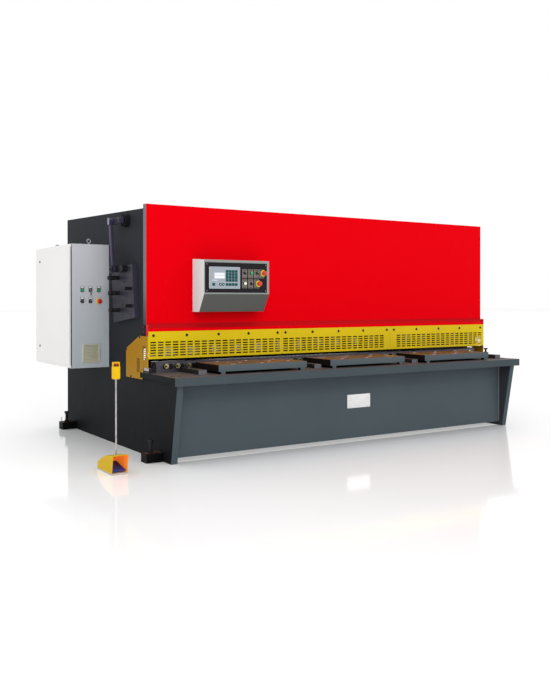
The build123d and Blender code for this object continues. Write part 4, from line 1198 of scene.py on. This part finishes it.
class SHEAR_OT_linkage_fittings(bpy.types.Operator):
    """Replace the upper lever and the link rod, and add the linkage's hub plates, nuts, bolts and marks"""

    bl_idname = "shear.linkage_fittings"
    bl_label = "Linkage fittings"

    def execute(self, context):
        low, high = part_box("upper_lever")
        inner = low.x + 0.084
        reach = high.x - inner
        arm = moulded(0.208, 0.058, 0.006, [(0.002, 0), (0, 0.002), (0, 0.038), (0.002, 0.040)])
        cheek = moulded(0.046, 0.064, 0.004, [(0.001, 0), (0, 0.001), (0, 0.009), (0.001, 0.010)])
        pin = turned([(0, 0), (0.014, 0), (0.014, 0.036), (0, 0.036)], 32)
        shaft = turned([(0, 0), (0.020, 0), (0.020, reach), (0, reach)], 32)
        arm_middle = ((UPPER_PIVOT[0] + UPPER_PIN[0]) / 2, UPPER_PIVOT[1])
        lever = [
            seated(arm, spot(inner, arm_middle), "left"),
            seated(pin, spot(inner - 0.039, UPPER_PIN), "left"),
            seated(shaft, spot(inner, UPPER_PIVOT), "right"),
        ]
        made = piece("upper_lever_arm", gathered(lever), "lever", "upper_lever")
        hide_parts("upper_lever")
        shape = seated(cheek, spot(low.x + 0.010, (0.629, UPPER_PIN[1])), "left")
        piece("upper_lever_cheek", shape, "cheek", "upper_lever")
        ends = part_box("link_rod")
        start, finish = np.array(spot(0, LOWER_PIN)), np.array(spot(0, UPPER_PIN))
        length = float(np.linalg.norm(finish - start))
        along = (finish - start) / length
        turn = np.array([[1, 0, 0], [0, along[2], -along[1]], along])
        thick = ends[1].x - ends[0].x
        bar = [(0.001, 0.0150), (0, 0.0160), (0, length - 0.0160), (0.001, length - 0.0150)]
        points, faces = moulded(thick - 0.004, 0.042, 0.004, bar)
        shapes = [(points @ turn + start + np.array([(ends[0].x + ends[1].x) / 2, 0, 0]), faces)]
        eye = [
            (0.0290, 0), (0.0300, 0.001), (0.0300, thick - 0.001), (0.0290, thick), (0.0145, thick),
            (0.0145, 0),
        ]
        shapes += [seated(hoop(eye, 32), spot(ends[1].x, pin), "left") for pin in (LOWER_PIN, UPPER_PIN)]
        made = piece("link_bar", gathered(shapes), "link", "link_rod")
        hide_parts("link_rod")
        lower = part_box("lower_lever")
        cap = [(0, 0), (0.016, 0), (0.016, 0.006), (0.013, 0.008), (0.006, 0.008), (0.005, 0.011), (0, 0.012)]
        shape = seated(turned(cap, 6), spot(lower[0].x, LOWER_PIN), "left")
        piece("lower_lever_pin_bolt", shape, "black_bolt", "lower_lever", smooth=False)
        hub = [
            (0, 0), (0.030, 0.0), (0.030, 0.002), (0.026, 0.004), (0.012, 0.004), (0.011, 0.002), (0, 0.002)
        ]
        for body, pivot in (("upper_lever", UPPER_PIVOT), ("lower_lever", LOWER_PIVOT)):
            shape = seated(turned(hub, 32), spot(inner - 0.040, pivot), "left")
            piece(body + "_hub_plate", shape, "joint", body)
        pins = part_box("spring_pins")
        nut = [
            (0.0185, -0.066), (0.0230, -0.063), (0.0230, -0.048), (0.0185, -0.045), (0.0180, -0.050),
            (0.0180, -0.060),
        ]
        nose = [
            (0.0180, -0.034), (0.0215, -0.032), (0.0225, -0.028), (0.0225, -0.006), (0.0205, -0.001),
            (0.0150, 0.003), (0.0060, 0.0045), (0, 0.0047),
        ]
        long_pins = ((0.600, 1.605), (0.5885, 1.460), (0.576, 1.299))
        places = [spot(pins[0].x, place) for place in long_pins]
        shape = repeated(hoop(nut, 6), places, "left")
        piece("spring_pin_nuts", shape, "black_bolt", smooth=False)
        shape = repeated(turned(nose, 24), places, "left")
        piece("spring_pin_ends", shape, "black_bolt")
        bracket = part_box("guide_bracket")
        dimple = [(0, 0), (0.013, 0.0), (0.0125, 0.0012), (0.009, 0.0012), (0.0085, 0.0004), (0, 0.0004)]
        spots = [spot(bracket[0].x, place) for place in ((0.500, 1.350), (0.470, 1.560))]
        shape = repeated(turned(dimple, 20), spots, "left")
        piece("bracket_holes", shape, "black_bolt")
        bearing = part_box("pivot_bearings")
        bolt = [
            (0, 0), (0.008, 0), (0.008, 0.005), (0.0065, 0.006), (0.004, 0.006), (0.0038, 0.003), (0, 0.003)
        ]
        angles = np.linspace(0, 2 * math.pi, 6, endpoint=False) + 0.3
        r = 0.048
        ring = [(UPPER_PIVOT[0] + r * math.cos(a), UPPER_PIVOT[1] + r * math.sin(a)) for a in angles]
        shape = repeated(turned(bolt, 14), [spot(bearing[0].x, place) for place in ring], "left")
        piece("bearing_bolts", shape, "black_bolt")
        return {"FINISHED"}


def walled(width, depth, corner, wall, low, high, start, end, steps=8):
    """Part of a hollow wall with a rounded rectangle for its outline, between two shares of the way round.

    The outline is the same as in moulded, and a second one, drawn in by the wall's thickness, is its inner
    side. The four edges, outer low, outer high, inner high and inner low, are carried along it. A part that
    doesn't go all the way round is closed at its ends."""
    rings = []
    for inset in (0.0, wall):
        half_x, half_y, r = width / 2 - inset, depth / 2 - inset, corner - inset
        parts = corner_arcs(half_x, half_y, r, steps)
        ring = np.concatenate([*parts, parts[0][:1]])
        run = np.concatenate([[0], np.cumsum(np.hypot(*np.diff(ring, axis=0).T))])
        at = (np.linspace(start, end, 8 * steps) % 1.0) * run[-1]
        rings.append(np.column_stack([np.interp(at, run, ring[:, 0]), np.interp(at, run, ring[:, 1])]))
    outer, inner = rings
    sides = [(outer, low), (outer, high), (inner, high), (inner, low)]
    rows = np.stack([np.column_stack([side, np.full(len(side), z)]) for side, z in sides], axis=1)
    caps = [np.broadcast_to(rows[end_row].mean(axis=0), rows[0].shape) for end_row in (0, -1)]
    if end - start < 1:
        rows = np.concatenate([caps[0][None], rows, caps[1][None]])
    return rows.reshape(-1, 3), tube_faces(len(rows), 4)


class SHEAR_OT_foot_switch(bpy.types.Operator):
    """Replace the stop box and its post, and add the treadle's ribs, the plate's edge and the cord gland"""

    bl_idname = "shear.foot_switch"
    bl_label = "Foot switch"

    def execute(self, context):
        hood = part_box("pedal_hood")
        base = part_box("pedal_base")
        middle = (hood[0].x + hood[1].x) / 2
        width = hood[1].x - hood[0].x - 0.030
        rib = moulded(width, 0.0048, 0.0015, [(0, 0), (0.0004, 0.0016), (0.0014, 0.0022)], 4)
        along = np.linspace(0.012, 0.165, 15)
        start_y, start_z = back(-0.503), 0.034
        slope = 0.040 / 0.182
        spots = [(middle, start_y + d, start_z + d * slope) for d in along]
        piece("treadle_ribs", repeated(rib, spots), "treadle", "pedal_treadle")
        plate = moulded(base[1].x - base[0].x - 0.004, 0.050, 0.004, [(0, 0), (0, 0.0005), (0.0006, 0.0010)])
        shape = seated(plate, (middle, base[0].y + 0.027, base[1].z), "up")
        piece("base_plate_edge", shape, "base")
        gland = [
            (0, 0), (0.012, 0), (0.012, 0.006), (0.009, 0.008), (0.009, 0.020), (0.0075, 0.024),
            (0.0040, 0.024), (0.0038, 0.018), (0, 0.018),
        ]
        shape = seated(turned(gland, 20), (middle, hood[1].y, 0.032), "back")
        piece("cord_gland", shape, "unit")
        post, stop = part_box("stop_post"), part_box("stop_box")
        centre = ((post[0].x + post[1].x) / 2, (post[0].y + post[1].y) / 2)
        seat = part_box("post_stop_button")[0].z - 0.0003
        top = seat - stop[0].z
        body = [
            (0.007, 0.0), (0.004, 0.002), (0.0004, 0.0085), (0, 0.0100), (0, top - 0.004),
            (0.0008, top - 0.0015), (0.0030, top), (0.0060, top),
        ]
        shape = seated(moulded(0.062, 0.056, 0.017, body, 8), (*centre, stop[0].z), "up")
        made = piece("stop_box_body", shape, "switch")
        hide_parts("stop_box")
        rim = stop[1].z
        bands = (
            (seat - 0.001, seat + 0.002, 0.0, 1.0),
            (seat + 0.001, rim - 0.007, -0.22, 0.52),
            (rim - 0.008, rim, 0.0, 1.0),
        )
        walls = [walled(0.057, 0.051, 0.0160, 0.0030, *band) for band in bands]
        shape = seated(gathered(walls), (*centre, 0.0), "up")
        piece("stop_box_shroud", shape, "switch")
        seal = turned([(0, 0.0), (0.0210, 0.0), (0.0205, 0.0060), (0.0150, 0.0075), (0, 0.0075)], 32)
        piece("stop_button_seal", seated(seal, (*centre, seat), "up"), "black")
        r = 0.0070
        length = stop[0].z - post[0].z + 0.010
        tube = turned([(0, 0), (r, 0), (r, length), (0, length)], 24)
        made = piece("post_tube", seated(tube, (*centre, post[0].z), "up"), "post")
        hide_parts("stop_post")
        foot = hoop([(0.0125, -0.004), (0.0125, 0.002), (0.0105, 0.005), (r, 0.006), (r, -0.004)], 28)
        piece("post_collar", seated(foot, (*centre, post[0].z + 0.004), "up"), "post")
        return {"FINISHED"}


class SHEAR_OT_plates(bpy.types.Operator):
    """Add the apron's bare plate and weld bead, the stud at the rear foot, and the jack bolts' heads"""

    bl_idname = "shear.plates"
    bl_label = "Plates"

    def execute(self, context):
        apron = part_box("apron")
        plate = moulded(0.292, 0.132, 0.006, [(0, 0), (0.0003, 0.0014), (0.0012, 0.0016)])
        at = (-0.002, apron[0].y, 0.402)
        piece("bare_plate", seated(plate, at, "front"), "plate")
        rivet = turned([(0, 0.0014), (0.0038, 0.0014), (0.0034, 0.0028), (0.0018, 0.0036), (0, 0.0038)], 14)
        spots = [(at[0] + dx, at[1], at[2] + dz) for dx in (-0.137, 0.137) for dz in (-0.056, 0.056)]
        piece("plate_rivets", repeated(rivet, spots, "front"), "chrome")
        tall = apron[1].z - apron[0].z - 0.030
        bead = moulded(0.010, tall, 0.002, [(0, 0), (0.001, 0.0012)])
        at = (apron[1].x - 0.007, apron[0].y, (apron[0].z + apron[1].z) / 2)
        piece("apron_weld_bead", seated(bead, at, "front"), "weld")
        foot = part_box("foot_blocks")
        stud = [(0, 0), (0.006, 0), (0.006, 0.044), (0.005, 0.047), (0, 0.049)]
        shape = seated(turned(stud, 12), spot(LEFT_PLATE - 0.142, (1.915, foot[1].z)), "up")
        piece("foot_stud", shape, "plate")
        washer = hoop([(0.0290, 0.0), (0.0290, 0.003), (0.0145, 0.003), (0.0145, 0.0)], 24)
        jacks = [spot(side * 2.195, (y, foot[1].z)) for side in (-1, 1) for y in (-0.195, 1.885)]
        piece("jack_washers", repeated(washer, jacks), "black_bolt")
        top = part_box("jack_bolts")[1].z
        cap = [
            (0, -0.022), (0.0240, -0.022), (0.0250, -0.020), (0.0250, -0.003), (0.0225, 0.0006), (0, 0.0006)
        ]
        shape = repeated(turned(cap, 6), [(x, y, top) for x, y, _ in jacks])
        piece("jack_heads", shape, "black_bolt", smooth=False)
        return {"FINISHED"}


class SHEAR_OT_rear_fittings(bpy.types.Operator):
    """Replace the pump motor by a finned one and add the tank's small parts and the pads of the gauge"""

    bl_idname = "shear.rear_fittings"
    bl_label = "Rear fittings"

    def execute(self, context):
        low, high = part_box("pump_motor")
        axis_y = (low.y + high.y) / 2
        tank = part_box("oil_tank")
        axis_z = low.z + 0.175
        start = high.x - 0.400
        fins = 180
        angles = np.linspace(0, 2 * math.pi, fins, endpoint=False)
        proud = 1.0 + 0.035 * np.sign(np.sin(angles * 30))
        profile = np.array([
            (0.0, 0.0), (0.070, 0.0), (0.112, 0.004), (0.118, 0.040), (0.120, 0.050), (0.120, 0.300),
            (0.118, 0.310), (0.126, 0.312), (0.128, 0.385), (0.118, 0.398), (0.050, 0.399), (0.0, 0.399),
        ])
        ribbed = np.array([0, 0, 0, 0, 1, 1, 0, 0, 0, 0, 0, 0], float)
        r = profile[:, 0:1] * (1 + (proud[None, :] - 1) * ribbed[:, None])
        x = np.broadcast_to(profile[:, 1:2], r.shape)
        points = np.stack([x, r * np.cos(angles), r * np.sin(angles)], axis=-1).reshape(-1, 3)
        shell = (points + np.array([start, axis_y, axis_z]), tube_faces(len(profile), fins))
        flanges = [
            (0, 0), (0.069, 0), (0.069, 0.006), (0.050, 0.010), (0.050, 0.024), (0.069, 0.028),
            (0.069, 0.031), (0, 0.031),
        ]
        coupling = seated(turned(flanges, 40), (start - 0.030, axis_y, axis_z), "right")
        sole = moulded(0.30, 0.236, 0.012, [(0, 0), (0, 0.014), (0.003, 0.017), (0.05, 0.020), (0.06, 0.060)])
        foot = seated(sole, (start + 0.2, axis_y, low.z), "up")
        terminals = moulded(0.110, 0.100, 0.010, [(0, 0), (0, 0.030), (0.004, 0.036), (0.010, 0.038)])
        box = seated(terminals, (start + 0.16, axis_y - 0.100, axis_z), "front")
        made = piece("finned_motor", gathered([shell, coupling, foot, box]), "motor")
        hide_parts("pump_motor")
        filler = [
            (0, 0), (0.045, 0), (0.045, 0.004), (0.036, 0.006), (0.036, 0.040), (0.040, 0.042),
            (0.040, 0.056), (0.034, 0.060), (0, 0.060),
        ]
        shape = seated(turned(filler, 32), (-0.45, (tank[0].y + tank[1].y) / 2, tank[1].z), "up")
        piece("tank_filler", shape, "black")
        rim = [(0, 0), (0, 0.006), (0.003, 0.009), (0.012, 0.009), (0.014, 0.005)]
        glass = moulded(0.050, 0.200, 0.012, rim)
        rear_face = tank[1].y - 0.040
        piece("level_glass", seated(glass, (0.45, rear_face, 1.84), "back"), "display")
        bolt = [(0, 0), (0.008, 0), (0.008, 0.006), (0.006, 0.007), (0, 0.007)]
        xs = np.linspace(-0.66, 0.66, 8)
        ys = (tank[0].y + 0.075, tank[1].y - 0.075)
        shape = repeated(turned(bolt, 6), [(x, y, tank[1].z) for x in xs for y in ys])
        piece("tank_lid_bolts", shape, "bolt", smooth=False)
        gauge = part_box("back_gauge")
        pad = moulded(0.138, 0.137, 0.010, [(0.002, 0), (0, 0.002), (0, 0.034), (0.002, 0.036)])
        ends = [spot(side * (gauge[1].x + 0.059), (0.690, 0.7635)) for side in (-1, 1)]
        shape = repeated(pad, ends, "front")
        piece("gauge_end_pads", shape, "inside")
        return {"FINISHED"}


OPERATORS = (
    SHEAR_OT_finishes,
    SHEAR_OT_stage,
    SHEAR_OT_guard_bolts,
    SHEAR_OT_table_fittings,
    SHEAR_OT_control_unit,
    SHEAR_OT_push_buttons,
    SHEAR_OT_selectors,
    SHEAR_OT_stop_buttons,
    SHEAR_OT_cabinet_fittings,
    SHEAR_OT_linkage_fittings,
    SHEAR_OT_foot_switch,
    SHEAR_OT_plates,
    SHEAR_OT_rear_fittings,
)


class SHEAR_PT_looks(bpy.types.Panel):
    """Lists the shear's settings and the operators in their order"""

    bl_label = "Plate Shear"
    bl_idname = "SHEAR_PT_looks"
    bl_space_type = "VIEW_3D"
    bl_region_type = "UI"
    bl_category = "Shear"

    def draw(self, context):
        for group in settings():
            column = self.layout.column()
            for name in group.bl_rna.properties.keys():
                if name not in ("rna_type", "name"):
                    column.prop(group, name)
        for operator in OPERATORS:
            self.layout.operator(operator.bl_idname)


GROUPS = {"shear_paint": ShearPaint, "shear_light": ShearLight, "shear_fittings": ShearFittings}


def register():
    for name, group in GROUPS.items():
        bpy.utils.register_class(group)
        setattr(bpy.types.Scene, name, bpy.props.PointerProperty(type=group))
    for operator in OPERATORS:
        bpy.utils.register_class(operator)
    bpy.utils.register_class(SHEAR_PT_looks)


def unregister():
    bpy.utils.unregister_class(SHEAR_PT_looks)
    for operator in reversed(OPERATORS):
        bpy.utils.unregister_class(operator)
    for name, group in reversed(list(GROUPS.items())):
        delattr(bpy.types.Scene, name)
        bpy.utils.unregister_class(group)


def main():
    """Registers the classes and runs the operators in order."""
    register()
    for operator in OPERATORS:
        group, name = operator.bl_idname.split(".")
        getattr(getattr(bpy.ops, group), name)()


if __name__ == "__main__":
    main()
